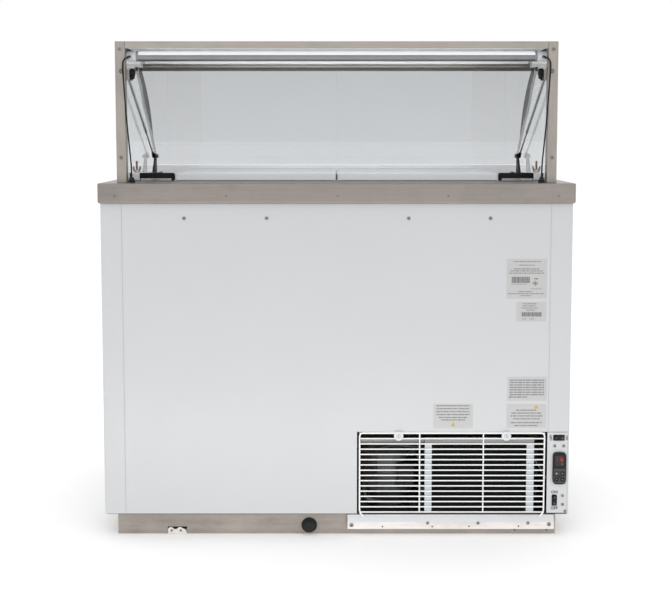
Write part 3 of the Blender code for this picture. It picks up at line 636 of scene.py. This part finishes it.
label("rating_plate", .4286, .5303, .6135, .7150,
      [(.16, .84, .93, .0017), (.30, .70, .84, .0017), (.18, .82, .745, .0022), (.08, .92, .695, .0020), (.06, .94, .64, .0020),
       (.12, .52, .365, .0014), (.68, .78, .50, .0030), (.60, .88, .245, .0013), (.28, .66, .175, .0017), (.03, .96, .125, .0017), (.34, .62, .075, .0017)])
label("serial_plate", .4544, .5298, .5554, .6055, [(.22, .68, .90, .0018), (.20, .66, .79, .0018), (.18, .74, .68, .0018), (.34, .62, .575, .0018), (.20, .34, .13, .0016), (.44, .62, .13, .0016)])
bars = bmesh.new()
for x, end, z0, z1 in ((.4415, .4860, .6535, .6690), (.4675, .5170, .5680, .5790)):
    k = 0
    while x < end:
        w = (.0009, .0015, .0009, .0021, .0012)[k % 5]
        add_box(bars, x, x + w, RY0 - .00030, RY0 - .00020, z0, z1)
        x += w + (.0008, .0006, .0010)[k % 3]
        k += 1
# plain lozenge beside the bars
for r0, r1 in ((.0080, .0062), (.0036, .0)):
    c = (.5010, .6525)
    o = [bars.verts.new((c[0] + r0 * dx, y, c[1] + r0 * .8 * dz)) for y in (RY0 - .00030, RY0 - .00022) for dx, dz in ((1, 0), (0, 1), (-1, 0), (0, -1))]
    if r1:
        i = [bars.verts.new((c[0] + r1 * dx, y, c[1] + r1 * .8 * dz)) for y in (RY0 - .00030, RY0 - .00022) for dx, dz in ((1, 0), (0, 1), (-1, 0), (0, -1))]
        for q in range(4):
            n = (q + 1) % 4
            for a, b, c2, d in ((o[q], o[n], i[n], i[q]), (o[q + 4], i[q + 4], i[n + 4], o[n + 4]), (o[q], o[q + 4], o[n + 4], o[n]), (i[q], i[n], i[n + 4], i[q + 4])):
                bars.faces.new((a, b, c2, d))
    else:
        bars.faces.new(o[:4])
        bars.faces.new(o[7:3:-1])
        for q in range(4):
            n = (q + 1) % 4
            bars.faces.new((o[q], o[q + 4], o[n + 4], o[n]))
bmesh.ops.recalc_face_normals(bars, faces=bars.faces[:])
put("serial_plate_bars", bars, "ink")
label("care_plate_upper", .4336, .5343, .3512, .4134, [(.06, .94, v, .0026) for v in (.86, .76, .66, .56, .46, .36, .26)] + [(.04, .52, .16, .0026)])
label("care_plate_lower", .4329, .5336, .2811, .3433, [(.24, .76, .74, .0024), (.12, .88, .62, .0024), (.10, .90, .50, .0024), (.16, .84, .38, .0024), (.10, .90, .22, .0024), (.20, .80, .10, .0024)],
      (.74, .88, .0055))
label("care_plate_left", .2462, .3469, .2803, .3436, [(.08, .92, v, .0024) for v in (.92, .80, .68, .56)] + [(.14, .86, .44, .0024), (.20, .80, .34, .0024)],
      (.50, .16, .0060))

# customer's side: kick screws and two corner screws for each panel
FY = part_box("front_panel")[1].y
screws("front_panel_screws", [((x, FY, z), YP) for x in (-.52, -.175, .175, .52) for z in (.085, .830)], .0042, .0020)
bm = bmesh.new()
add_box(bm, -.5746, -.5730, FY - .0004, FY + .00035, .0580, .8540)
add_box(bm, .5730, .5746, FY - .0004, FY + .00035, .0580, .8540)
put("front_seams", bm, "seam")

# =====================================================================================
# wire guard: welded round wires in place of the plain grid
# =====================================================================================
gx = [.0587, .2118, .3744, .5301]
gz = [.0628 + i * .01368 for i in range(16)]
bm = bmesh.new()
y1, y2 = -.3385, -.3414
R = .0019
for z in gz:
    add_tube(bm, [(gx[0] - .0004, y2, z), (gx[0] + .006, y2 - .0001, z), (.3, y2, z), (gx[3] + .0004, y2, z)], .0017, 10)
for x in gx[1:3]:
    add_tube(bm, [(x, y1, .0606), (x, y1, .12), (x, y1, .2700)], R, 10)
# outer hoop with round upper corners and feet that bend inwards and down
hoop = [(.0690, -.3372, .0495), (.0660, -.3380, .0530), (.0600, y1, .0600), (gx[0], y1, .0680)]
hoop += [(gx[0], y1, .0680 + (.2590 - .0680) * k / 6) for k in range(1, 7)]
for i in range(1, 6):
    t = radians(180 - 90 * i / 5)
    hoop.append((gx[0] + .0095 + .0095 * cos(t), y1, .2590 + .0095 * sin(t)))
hoop += [(gx[0] + .0095 + (gx[3] - gx[0] - .019) * k / 8, y1, .2685) for k in range(1, 8)]
for i in range(0, 6):
    t = radians(90 - 90 * i / 5)
    hoop.append((gx[3] - .0095 + .0095 * cos(t), y1, .2590 + .0095 * sin(t)))
hoop += [(gx[3], y1, .2590 - (.2590 - .0680) * k / 6) for k in range(1, 7)]
hoop += [(.5288, y1, .0600), (.5230, -.3380, .0530), (.5200, -.3372, .0495)]
add_tube(bm, hoop, .0021, 12)
guard = put("wire_guard_round", bm, "guard", sm=60)
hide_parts("wire_guard")

bm = bmesh.new()
for x in (.1580, .4320):
    add_lathe(bm, [(0, -.0004), (.0118, -.0004), (.0122, .0000), (.0118, .0012), (.0075, .0017), (0, .0018)], 28, facing((x, -.3431, .2614), YN))
put("guard_washers", bm, "collar", sm=50)
screws("guard_screws", [((x, -.3448, .2614), YN) for x in (.1580, .4320)], .0048, .0024, "rod")

# =====================================================================================
# condensing unit behind the guard
# =====================================================================================
lo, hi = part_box("condenser_coil")
bm = bmesh.new()
n = 100
for i in range(n):
    x = lo.x + .004 + (hi.x - lo.x - .008) * i / (n - 1)
    add_box(bm, x - .00028, x + .00028, lo.y + .0010, hi.y, lo.z + .002, hi.z - .002)
fins = put("condenser_fins", bm, "fin")
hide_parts("condenser_coil")
bm = bmesh.new()
for x in (lo.x + .0006, hi.x - .0026):
    add_box(bm, x, x + .0020, lo.y, hi.y, lo.z, hi.z)
put("condenser_end_plates", bm, "strip", bevel=.0005)
bm = bmesh.new()
for row in range(2):
    for k in range(7):
        z = lo.z + .014 + k * .0252
        add_tube(bm, [(lo.x - .001 + (hi.x - lo.x + .002) * j / 3, lo.y + .014 + row * .022, z) for j in range(4)], .0045, 10)
for side in (0, 1):
    xs = lo.x - .001 if side == 0 else hi.x + .001
    sg = -1 if side == 0 else 1
    for k in range(side, 6, 2):
        z = lo.z + .014 + k * .0252 + .0126
        for row in range(2):
            y = lo.y + .014 + row * .022
            pts = [(xs + sg * .0126 * sin(radians(a)) * .7, y, z - .0126 * cos(radians(a))) for a in range(0, 181, 22)]
            add_tube(bm, pts, .0045, 8)
put("condenser_tubes", bm, "blackmetal", sm=60)

# grey strip and small parts above the coil
flo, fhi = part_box("condenser_frame")
bm = bmesh.new()
add_box(bm, flo.x + .0006, fhi.x - .0006, flo.y - .0010, flo.y - .0002, .2420, .2548)
put("condenser_top_strip", bm, "strip", bevel=.0003)
bm = bmesh.new()
add_box(bm, .0620, .2240, -.3330, -.3318, .2405, .2540)
put("unit_cross_strip", bm, "strip", bevel=.0003)

clo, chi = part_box("compressor")
cx0, cy0 = (clo.x + chi.x) / 2, (clo.y + chi.y) / 2
bm = bmesh.new()
add_lathe(bm, [(.0732, .1428), (.0768, .1430), (.0772, .1440), (.0768, .1450), (.0732, .1452)], 48, Matrix.Translation((cx0, cy0, 0)))
put("compressor_weld_seam", bm, "shell", sm=60)
bm = bmesh.new()
add_box(bm, cx0 + .020, cx0 + .066, cy0 - .078, cy0 - .052, .110, .175)
put("compressor_terminal_cover", bm, "black", bevel=.004, seg=3)
bm = bmesh.new()
add_tube(bm, spline([(cx0 + .045, cy0 - .052, .190), (cx0 + .060, cy0 - .070, .205), (cx0 + .072, cy0 - .088, .200), (cx0 + .080, cy0 - .095, .170), (cx0 + .083, cy0 - .096, .130), (cx0 + .086, cy0 - .090, .095)], 5), .0034, 10)
add_tube(bm, spline([(cx0 - .030, cy0 - .060, .195), (cx0 - .030, cy0 - .085, .215), (cx0 + .010, cy0 - .096, .228), (cx0 + .060, cy0 - .098, .226), (cx0 + .086, cy0 - .098, .222)], 5), .0034, 10)
add_tube(bm, spline([(cx0 - .058, cy0 - .040, .130), (cx0 - .066, cy0 - .062, .118), (cx0 - .064, cy0 - .084, .100), (cx0 - .050, cy0 - .096, .085), (cx0 + .020, cy0 - .100, .078)], 5), .0040, 10)
put("compressor_pipes", bm, "shell", sm=60)
bm = bmesh.new()
for sx in (-1, 1):
    for sy in (-1, 1):
        add_lathe(bm, [(0, .0576), (.013, .0576), (.014, .060), (.012, .066), (.009, .070), (.0095, .073), (0, .073)], 20, Matrix.Translation((cx0 + sx * .066, cy0 + sy * .060, 0)))
put("compressor_feet", bm, "rubber", sm=50)
bm = bmesh.new()
add_prism(bm, rrect(cx0 - .083, cx0 + .083, cy0 - .076, cy0 + .076, .012, 5), 'Z', .0732, .0752)
put("compressor_foot_plate", bm, "shell", bevel=.0006)

# =====================================================================================
# tray rail and plinth
# =====================================================================================
RF = -.3370
screws("tray_rail_screws", [((x, RF, z), YN) for x, z in ((.0380, .0271), (.5450, .0291))], .0054, .0022)
screws("tray_rail_tapping_screws", [((x, RF, z), YN) for x, z in ((.2335, .0322), (.3630, .0322), (.4911, .0326))], .0044, .0020)
# holes drawn as near-black discs: painted shade inside the holes
bm = bmesh.new()
for x, z in ((.1176, .0228), (.2454, .0228), (.3400, .0236), (.4669, .0236)):
    add_lathe(bm, [(0, -.0002), (.0021, -.0002), (.0021, .00035), (.0015, .0005), (0, .0001)], 14, facing((x, RF, z), YN))
put("tray_rail_holes_painted_shade", bm, "mark")
bm = bmesh.new()
add_prism(bm, [(-.33745, .0352), (-.33720, .0347), (-.33705, .0352), (-.33200, .0484), (-.33235, .0489)], 'X', .0284, .5576)
put("tray_rail_lip", bm, "collar", bevel=.0002)
# black strip between the pan's edges and the side panels, standing in for the shade in that gap: painted shade
for s, side in ((-1, "left"), (1, "right")):
    bm = bmesh.new()
    add_box(bm, s * .5884, s * (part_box("right_side_panel")[1].x - .0016), -.3340, .3340, .0556, .0572)
    put(side + "_pan_edge_painted_shade", bm, "rubber", bevel=.0003)
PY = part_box("base_frame")[0].y
# holes drawn as near-black discs: painted shade inside the holes
bm = bmesh.new()
for x, z in ((.4007, .0144), (.4263, .0144), (.4592, .0101), (.5417, .0101)):
    add_lathe(bm, [(0, -.0002), (.0024, -.0002), (.0024, .0004), (.0017, .0005), (0, .0001)], 14, facing((x, PY, z), YN))
put("plinth_holes_painted_shade", bm, "mark")
bm = bmesh.new()
add_lathe(bm, [(.0150, -.0002), (.0196, -.0002), (.0202, .0006), (.0196, .0022), (.0170, .0030), (.0150, .0022)], 36, facing((-.0706, PY, .0228), YN))
put("drain_ring", bm, "black", sm=50)
bm = bmesh.new()
for k in range(18):
    a = 2 * pi * k / 18
    add_box(bm, -.0007, .0007, .0138, .0146, .0068, .0138, facing((-.0706, PY, .0228), YN) @ Matrix.Rotation(a, 4, 'Z'))
put("drain_cap_grip", bm, "black", "drain_cap_body", bevel=.0002, seg=1)
# levelling bracket in the notch
bm = bmesh.new()
pts = [(-.4350, .0010), (-.3870, .0010), (-.3870, .0050), (-.3905, .0105), (-.3960, .0135), (-.4010, .0165), (-.4080, .0165), (-.4120, .0120), (-.4190, .0110), (-.4240, .0165), (-.4310, .0165), (-.4350, .0120)]
add_prism(bm, pts, 'Y', PY - .0006, PY + .0014)
put("levelling_bracket", bm, "rail", bevel=.0006)
screws("levelling_bracket_bolts", [((x, PY - .0006, .0085), YN) for x in (-.4255, -.4020)], .0032, .0016, pan=False)

# =====================================================================================
# controls
# =====================================================================================
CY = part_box("control_plate")[0].y


def bezel(name, x0, x1, z0, z1, w, t, r):
    bm = bmesh.new()
    o = rrect(x0 - w, x1 + w, z0 - w, z1 + w, r, 4)
    i = rrect(x0, x1, z0, z1, r - w * .5, 4)
    rows = []
    for pts, y in ((o, CY - .00005), (o, CY - t * .6), ([((p[0] * .8 + q[0] * .2), (p[1] * .8 + q[1] * .2)) for p, q in zip(o, i)], CY - t), (i, CY - t), (i, CY + .0012)):
        rows.append([bm.verts.new((p[0], y, p[1])) for p in pts])
    n = len(o)
    for a, b in zip(rows, rows[1:] + [rows[0]]):
        for k in range(n):
            j = (k + 1) % n
            bm.faces.new((a[k], a[j], b[j], b[k]))
    put(name, bm, "black", sm=40)


def trimmed(node, body, outline, mat, bevel=.0004):
    """The node's own shape, trimmed to a rounder outline; it stands for the node."""
    lo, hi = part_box(node)
    a = bpy.data.objects.new(node + "_a", NODES[node].data.copy())
    me = bpy.data.meshes.new(node + "_b")
    bm = bmesh.new()
    add_prism(bm, outline, 'Y', lo.y - .004, hi.y + .004)
    bmesh.ops.recalc_face_normals(bm, faces=bm.faces[:])
    bm.to_mesh(me)
    bm.free()
    b = bpy.data.objects.new(node + "_b", me)
    for o in (a, b):
        bpy.context.scene.collection.objects.link(o)
    mod = a.modifiers.new("trim", 'BOOLEAN')
    mod.operation, mod.object, mod.solver = 'INTERSECT', b, 'EXACT'
    bpy.context.view_layer.update()
    out = bpy.data.meshes.new_from_object(a.evaluated_get(bpy.context.evaluated_depsgraph_get()))
    for o in (a, b):
        bpy.data.objects.remove(o)
    bm = bmesh.new()
    bm.from_mesh(out)
    bmesh.ops.remove_doubles(bm, verts=bm.verts[:], dist=1e-6)
    o = put(node + "_trimmed", bm, mat, body, bevel=bevel, seg=2, sm=35)
    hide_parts(node)
    return o


for node in ("power_switch", "light_switch"):
    lo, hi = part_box(node)
    r = min(hi.x - lo.x, hi.z - lo.z) / 2 - .0001
    trimmed(node, node + "_body", rrect(lo.x, hi.x, lo.z, hi.z, r, 8), "black", .0003)
lo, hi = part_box("controller")
mx_, mz_, hx_, hz_ = (lo.x + hi.x) / 2, (lo.z + hi.z) / 2, (hi.x - lo.x) / 2 - .00005, (hi.z - lo.z) / 2 - .00005
pts = []
for i in range(72):
    t = 2 * pi * i / 72
    c, q = cos(t), sin(t)
    pts.append((mx_ + hx_ * (1 if c > 0 else -1) * abs(c) ** (2 / 4.5), mz_ + hz_ * (1 if q > 0 else -1) * abs(q) ** (2 / 9)))
trimmed("controller", "cabinet", pts, "black", .0005)

plo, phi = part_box("power_switch")
bezel("power_switch_bezel", plo.x - .0006, phi.x + .0006, plo.z - .0008, phi.z + .0008, .0007, .0016, (phi.x - plo.x) / 2)
llo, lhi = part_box("light_switch")
bezel("light_switch_bezel", llo.x - .0008, lhi.x + .0008, llo.z - .0006, lhi.z + .0006, .0007, .0016, (lhi.z - llo.z) / 2)


def rocker_mark(name, body, c, vertical):
    bm = bmesh.new()
    u, v = c
    if vertical:
        y = -.3426
        m = Matrix.Translation((u, y, v + .0080)) @ Matrix.Rotation(radians(11.3), 4, 'X')
        add_box(bm, -.0005, .0005, -.0003, .0002, -.0020, .0020, m)
    else:
        y = -.3426
        m = Matrix.Translation((u - .0080, y, v)) @ Matrix.Rotation(radians(11.3), 4, 'Z')
        add_box(bm, -.0020, .0020, -.0003, .0002, -.0005, .0005, m)
    put(name, bm, "icon", body)
    bm = bmesh.new()
    if vertical:
        m = Matrix.Translation((u, -.3426, v - .0080)) @ Matrix.Rotation(radians(-11.3), 4, 'X') @ Vector((0, 0, 1)).to_track_quat('Z', 'Y').to_matrix().to_4x4() @ Matrix.Rotation(pi / 2, 4, 'X')
    else:
        m = Matrix.Translation((u + .0080, -.3426, v)) @ Matrix.Rotation(radians(-11.3), 4, 'Z') @ Matrix.Rotation(pi / 2, 4, 'X')
    add_lathe(bm, [(.0013, -.0002), (.0020, -.0002), (.0020, .0003), (.0013, .0003)], 20, m)
    put(name + "_ring", bm, "icon", body)


rocker_mark("power_rocker_mark", "power_switch_body", (.5576, .0926), True)
rocker_mark("light_rocker_mark", "light_switch_body", (.5672, .2556), False)


def text(name, body, s, p, size, mat="mark", turn=0.0):
    cu = bpy.data.curves.new(name + "_c", 'FONT')
    cu.body = s
    cu.size = size
    cu.align_x = 'CENTER'
    cu.align_y = 'CENTER'
    cu.extrude = .00010
    cu.offset = size * .03
    cu.resolution_u = 3
    t = bpy.data.objects.new(name + "_t", cu)
    bpy.context.scene.collection.objects.link(t)
    bpy.context.view_layer.update()
    me = bpy.data.meshes.new_from_object(t.evaluated_get(bpy.context.evaluated_depsgraph_get()))
    bpy.data.objects.remove(t)
    me.name = name
    me.transform(Matrix.Translation(p) @ Matrix.Rotation(turn, 4, 'Y') @ Matrix.Rotation(pi / 2, 4, 'X'))
    me.materials.clear()
    me.materials.append(M[mat])
    o = bpy.data.objects.new(name, me)
    bpy.context.scene.collection.objects.link(o)
    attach(o, body)


text("power_on_mark", "cabinet", "ON", (.5576, CY - .0001, .1135), .0105)
text("power_off_mark", "cabinet", "OFF", (.5576, CY - .0001, .0715), .0105)
text("light_off_mark", "cabinet", "OFF", (.5470, CY - .0001, .2556), .0085, turn=radians(-90))
text("light_on_mark", "cabinet", "ON", (.5872, CY - .0001, .2556), .0075, turn=radians(90))
screws("control_plate_screws", [((x, CY, z), YN) for x, z in ((.5566, .2343), (.5796, .2343), (.5781, .1045), (.5789, .0815), (.5855, .0640))], .0040, .0019)

klo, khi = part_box("controller")
kx, kf = (klo.x + khi.x) / 2, klo.y
bm = bmesh.new()
add_prism(bm, rrect(kx - .0115, kx + .0115, .1830, .2110, .0040, 4), 'Y', kf - .00045, kf + .0006)
put("controller_window", bm, "window", bevel=.0003)
bm = bmesh.new()
add_prism(bm, rrect(kx - .0149, kx + .0149, .1392, .1768, .0030, 4), 'Y', kf - .0002, kf + .0004)
me_cut = bm
# keypad overlay leaves the keys free: four strips round them
bmesh.ops.delete(bm, geom=bm.verts[:], context='VERTS')
for x0, x1, z0, z1 in ((kx - .0149, kx + .0149, .1698, .1768), (kx - .0149, kx + .0149, .1392, .1435), (kx - .0022, kx + .0022, .1435, .1698),
                       (kx - .0149, kx - .0128, .1435, .1698), (kx + .0128, kx + .0149, .1435, .1698), (kx - .0128, kx + .0128, .1545, .1585)):
    add_box(bm, x0, x1, kf - .0003, kf + .0002, z0, z1)
put("keypad_overlay", bm, "mark")


def seven(bm, x, z, w, h, on, t=.0009):
    seg = {'a': (x - w / 2 + t, x + w / 2 - t, z + h / 2 - t, z + h / 2), 'g': (x - w / 2 + t, x + w / 2 - t, z - t / 2, z + t / 2),
           'd': (x - w / 2 + t, x + w / 2 - t, z - h / 2, z - h / 2 + t), 'f': (x - w / 2, x - w / 2 + t, z + t, z + h / 2 - t),
           'b': (x + w / 2 - t, x + w / 2, z + t, z + h / 2 - t), 'e': (x - w / 2, x - w / 2 + t, z - h / 2 + t, z - t),
           'c': (x + w / 2 - t, x + w / 2, z - h / 2 + t, z - t)}
    for k in on:
        x0, x1, z0, z1 = seg[k]
        add_box(bm, x0, x1, kf - .00060, kf - .00044, z0, z1)


bm = bmesh.new()
seven(bm, kx - .0052, .2000, .0040, .0080, "g")
seven(bm, kx + .0008, .2000, .0040, .0080, "bc")
seven(bm, kx + .0062, .2000, .0040, .0080, "abcdefg")
put("controller_digits", bm, "digit")
text("controller_dial_marks", "cabinet", "°C", (kx + .0060, kf - .00050, .1885), .0042, "icon")
for name, b, s, dx, z in (("set_key_mark", "set_button_body", "●", -.0075, .1640), ("up_key_mark", "up_button_body", "+", .0075, .1640),
                          ("defrost_key_mark", "defrost_button_body", "*", -.0075, .1490), ("down_key_mark", "down_button_body", "–", .0075, .1490)):
    text(name, b, s, (kx + dx, -.34535, z - (.0012 if s == "*" else 0)), .0075, "icon")

# =====================================================================================
# canopy: post screws, strut fittings, lamp, gasket
# =====================================================================================
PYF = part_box("left_post")[0].y
for s, side in ((-1, "left"), (1, "right")):
    screws(side + "_post_screws", [((s * .5475, PYF, z), YN) for z in (1.2410, .9685)], .0050, .0024)
    # pivot bolt on the post's operator face, with its black clamp knob behind
    bm, rc = bmesh.new(), bmesh.new()
    add_lathe(bm, [(0, 0), (.0070, 0), (.0070, .0008), (.0050, .0010), (.0050, .0034), (.0042, .0040), (0, .0040)], 6, facing((s * .5434, PYF, 1.1865), YN))
    put(side + "_strut_pivot_bolt", bm, "cheek", sm=30)
    rc.free()
    # black end fitting at the strut's head
    bm = bmesh.new()
    add_lathe(bm, [(0, -.0092), (.0088, -.0092), (.0102, -.0070), (.0102, .0006), (.0070, .0012), (0, .0012)], 24, facing((s * .5310, -.2350, 1.1790), (s, 0, 0)))
    put(side + "_strut_head_nut", bm, "black", sm=40)
    bm = bmesh.new()
    add_lathe(bm, [(0, 0), (.0100, 0), (.0105, .0020), (.0095, .0100), (.0070, .0118), (0, .0118)], 24, facing((s * .5280, -.2545, 1.1850), (-s, 0, 0)))
    put(side + "_strut_bracket_knob", bm, "blackmetal", sm=40)

K = Vector((0, -.235, 1.179))
S = Vector((0, .150, .963))
D = (S - K).normalized()
SL = (S - K).length
for s, side in ((-1, "left"), (1, "right")):
    def at(d):
        p = K + D * d
        return Vector((s * .540, p.y, p.z))
    # chrome collar where the rod leaves the tube, and the ball socket at the rod's end
    bm = bmesh.new()
    add_lathe(bm, [(.0031, -.0002), (.0050, -.0002), (.0053, .0010), (.0050, .0070), (.0044, .0084), (.0031, .0084)], 24, facing(at(.2935), D))
    put(side + "_strut_collar", bm, "rod", side + "_strut_tube_body", sm=40)
    bm = bmesh.new()
    add_lathe(bm, [(0, -.020), (.0034, -.020), (.0044, -.017), (.0044, -.006), (.0052, -.003), (.0056, .002), (.0050, .0056), (.0030, .0072), (0, .0076)], 20, facing(at(SL), D))
    add_lathe(bm, [(0, 0), (.0026, 0), (.0026, .0034), (0, .0034)], 12, facing(Vector((s * .5400, S.y, S.z)), (-s, 0, 0)))
    put(side + "_strut_socket", bm, "blackmetal", side + "_strut_rod_body", sm=60)
    bm = bmesh.new()
    add_lathe(bm, [(0, -.0062), (.0062, -.0062), (.0062, -.0016), (.0040, -.0006), (.0040, .0003), (0, .0003)], 6, facing(Vector((s * .5325, S.y, S.z)), (s, 0, 0)))
    put(side + "_strut_ball_nut", bm, "screw", "front_glass", sm=30)
    screws(side + "_strut_bracket_screws", [((s * .5325, y, .9096), (-s, 0, 0)) for y in (.185, .235)], .0026, .0014, body="front_glass")
    # threaded stud in place of the plain one
    lo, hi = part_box(side + "_clamp_stud")
    prof = [(0, lo.z), (.0029, lo.z)]
    z = lo.z + .001
    while z < hi.z - .0012:
        prof += [(.0024, z), (.0030, z + .0005)]
        z += .0010
    prof += [(.0024, hi.z - .0006), (.0018, hi.z), (0, hi.z)]
    bm = bmesh.new()
    add_lathe(bm, prof, 14, Matrix.Translation((s * .530, -.175, 0)))
    o = put(side + "_clamp_stud_threaded", bm, "wing", sm=60)
    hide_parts(side + "_clamp_stud")
    bm = bmesh.new()
    add_lathe(bm, [(.0036, .92505), (.0088, .92505), (.0092, .9253), (.0088, .92548), (.0036, .92548)], 24, Matrix.Translation((s * .530, -.175, 0)))
    put(side + "_clamp_washer", bm, "screw", sm=40)
    # pale saddle that the wing nut presses onto the strap's end
    bm = bmesh.new()
    a, b = sorted((s * .5210, s * .5420))
    add_prism(bm, rrect(-.1905, -.1595, .90535, .92535, .0028, 4), 'X', a, b)
    put(side + "_strap_saddle", bm, "lid", bevel=.0010, seg=3)
    bm = bmesh.new()
    a, b = sorted((s * .5274, s * .5321))
    add_prism(bm, rrect(-.2672, -.2238, 1.1654, 1.1926, .0060, 4), 'X', a, b)
    put(side + "_strut_bracket_sleeve", bm, "blackmetal", bevel=.0008)

# white liner under the shelf, and a pale strip on its front lip as a painted highlight along the steel lip
slo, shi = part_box("top_shelf")
bm = bmesh.new()
add_box(bm, -.5310, .5310, slo.y + .0024, shi.y - .0032, 1.2440, 1.2448)
put("shelf_liner", bm, "guard", bevel=.0003)
bm = bmesh.new()
add_box(bm, -.5430, .5430, shi.y - .0042, shi.y - .0031, 1.2262, 1.2436)
put("shelf_lip_painted_highlight", bm, "guard", bevel=.0003)

# lamp: grey extruded housing below, white lens above; the split also paints the tube light on top and in shade
# underneath
llo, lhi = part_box("lamp_tube")
ly, lz, lr = (llo.y + lhi.y) / 2, (llo.z + lhi.z) / 2, (lhi.z - llo.z) / 2


def half_tube(a0, a1, r, t, x0, x1, seg=20):
    bm = bmesh.new()
    outer = [(ly + r * cos(radians(a0 + (a1 - a0) * i / seg)), lz + r * sin(radians(a0 + (a1 - a0) * i / seg))) for i in range(seg + 1)]
    inner = [(ly + (r - t) * cos(radians(a0 + (a1 - a0) * i / seg)), lz + (r - t) * sin(radians(a0 + (a1 - a0) * i / seg))) for i in range(seg, -1, -1)]
    return add_prism(bm, outer + inner, 'X', x0, x1)


lens = put("lamp_lens", half_tube(12, 168, lr - .0004, .0016, llo.x, lhi.x), "lens", sm=40)
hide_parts("lamp_tube")
put("lamp_housing_painted_shade", half_tube(168.5, 371.5, lr, .0020, llo.x, lhi.x), "lampbody", sm=40)
bm = bmesh.new()
add_box(bm, llo.x + .002, lhi.x - .002, ly - .0090, ly + .0090, lz - .0005, lz + .0012)
put("lamp_board", bm, "lens", bevel=.0004)
for s, side in ((-1, "left"), (1, "right")):
    bm = bmesh.new()
    add_lathe(bm, [(.0128, -.0030), (.0136, -.0026), (.0136, .0026), (.0128, .0030)], 28, facing((s * .5080, ly, lz), XP))
    add_lathe(bm, [(0, 0), (.0042, 0), (.0040, .0036), (.0030, .0050), (0, .0050)], 14, facing((s * .5250, -.2742, 1.2234), YN))
    put(side + "_lamp_cap_ring", bm, "icon", sm=40)
    screws(side + "_lamp_cap_screw", [((s * .5300, -.2745, 1.2190), YN)], .0022, .0012)

# dark gasket between the hinge strip and the glass, seen under the shelf's lip
glo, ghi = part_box("curved_front_glass")
bm = bmesh.new()
add_box(bm, -.5560, .5560, .0560, .0650, 1.2065, 1.2120, None)
put("glass_gasket", bm, "seal", "front_glass", bevel=.0015, seg=3)
# bumper strip under the bottom rail
bm = bmesh.new()
add_box(bm, -.5560, .5560, .2620, .2700, .90505, .90555)
put("rail_bumper", bm, "rubber", bevel=.0001, seg=1)
# end caps of the bottom rail
for s, side in ((-1, "left"), (1, "right")):
    bm = bmesh.new()
    add_box(bm, s * .5576, s * .5600, .2594, .2726, .9059, .9342)
    put(side + "_rail_end_cap", bm, "black", "front_glass", bevel=.0010, seg=3)

# lids: a moulded rib frame on each top
for side, s in (("left", -1), ("right", 1)):
    for which in ("front", "rear"):
        lo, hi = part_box("%s_%s_lid" % (side, which))
        y0, y1 = lo.y, hi.y
        bm = bmesh.new()
        o = rrect(lo.x + .012, hi.x - .012, y0 + .010, y1 - .010, .010, 5)
        i = rrect(lo.x + .0145, hi.x - .0145, y0 + .0125, y1 - .0125, .008, 5)
        rows = []
        for pts, z in ((o, .92325), (o, .9237), (i, .9237), (i, .92325)):
            rows.append([bm.verts.new((p[0], p[1], z)) for p in pts])
        nn = len(o)
        for a, b in zip(rows, rows[1:] + [rows[0]]):
            for q in range(nn):
                j = (q + 1) % nn
                bm.faces.new((a[q], a[j], b[j], b[q]))
        put("%s_%s_lid_rib" % (side, which), bm, "lid", "%s_%s_lid_body" % (side, which), bevel=.0003, seg=2)

# =====================================================================================
# stage, light, camera
# =====================================================================================
bm = bmesh.new()
bmesh.ops.create_grid(bm, x_segments=1, y_segments=1, size=120)
me = bpy.data.meshes.new("floor")
bm.to_mesh(me)
bm.free()
floor = bpy.data.objects.new("floor", me)
bpy.context.scene.collection.objects.link(floor)
fm, fnt, fb = new_mat("floor_pale")
fb.inputs["Base Color"].default_value = (0.90, 0.90, 0.90, 1)
fb.inputs["Roughness"].default_value = 0.9
fb.inputs["Specular IOR Level"].default_value = 0.1
fb.inputs["Emission Color"].default_value = (1, 1, 1, 1)
fb.inputs["Emission Strength"].default_value = 0.17
me.materials.append(fm)
# painted light: the pale bottom rail glows faintly so its shaded face reads bright
rb = next(n for n in M["railpale"].node_tree.nodes if n.type == 'BSDF_PRINCIPLED')
rb.inputs["Emission Color"].default_value = (0.95, 0.97, 1.0, 1)
rb.inputs["Emission Strength"].default_value = 0.12

w = bpy.data.worlds.new("studio")
w.use_nodes = True
w.node_tree.nodes["Background"].inputs["Color"].default_value = (1.0, 1.0, 1.0, 1)
w.node_tree.nodes["Background"].inputs["Strength"].default_value = 1.0
bpy.context.scene.world = w


def area(name, loc, target, size, power, size_y=None):
    l = bpy.data.lights.new(name, 'AREA')
    l.shape = 'RECTANGLE'
    l.size = size
    l.size_y = size_y or size
    l.energy = power
    o = bpy.data.objects.new(name, l)
    o.location = loc
    o.rotation_euler = (Vector(target) - Vector(loc)).to_track_quat('-Z', 'Y').to_euler()
    o.visible_camera = o.visible_transmission = False
    bpy.context.scene.collection.objects.link(o)


area("key", (-1.6, -3.4, 2.6), (0, 0, .6), 2.4, 4)
area("low", (-.1, -1.15, .05), (-.1, -.35, .10), 1.6, 2.1, .1)
area("canopy", (0, -.20, 1.205), (0, .16, .92), 1.0, .6, .03)
area("fill", (2.2, -2.8, 1.4), (0, 0, .5), 2.0, 3)
area("top", (0, .2, 3.4), (0, 0, .8), 2.6, 5)
area("back", (0, 3.2, 2.0), (0, 0, .7), 2.4, 6)

cam = bpy.data.cameras.new("camera")
cam.sensor_width = 36
cam.lens = 57.256
cam.shift_y = -0.12
cam.clip_start, cam.clip_end = 0.05, 400
co = bpy.data.objects.new("camera", cam)
co.location = (-0.0016, -3.0122, 1.0313)
co.rotation_euler = (pi / 2 - 0.0772, 0, 0)
bpy.context.scene.collection.objects.link(co)
bpy.context.scene.camera = co
bpy.context.scene.view_settings.view_transform = 'Standard'
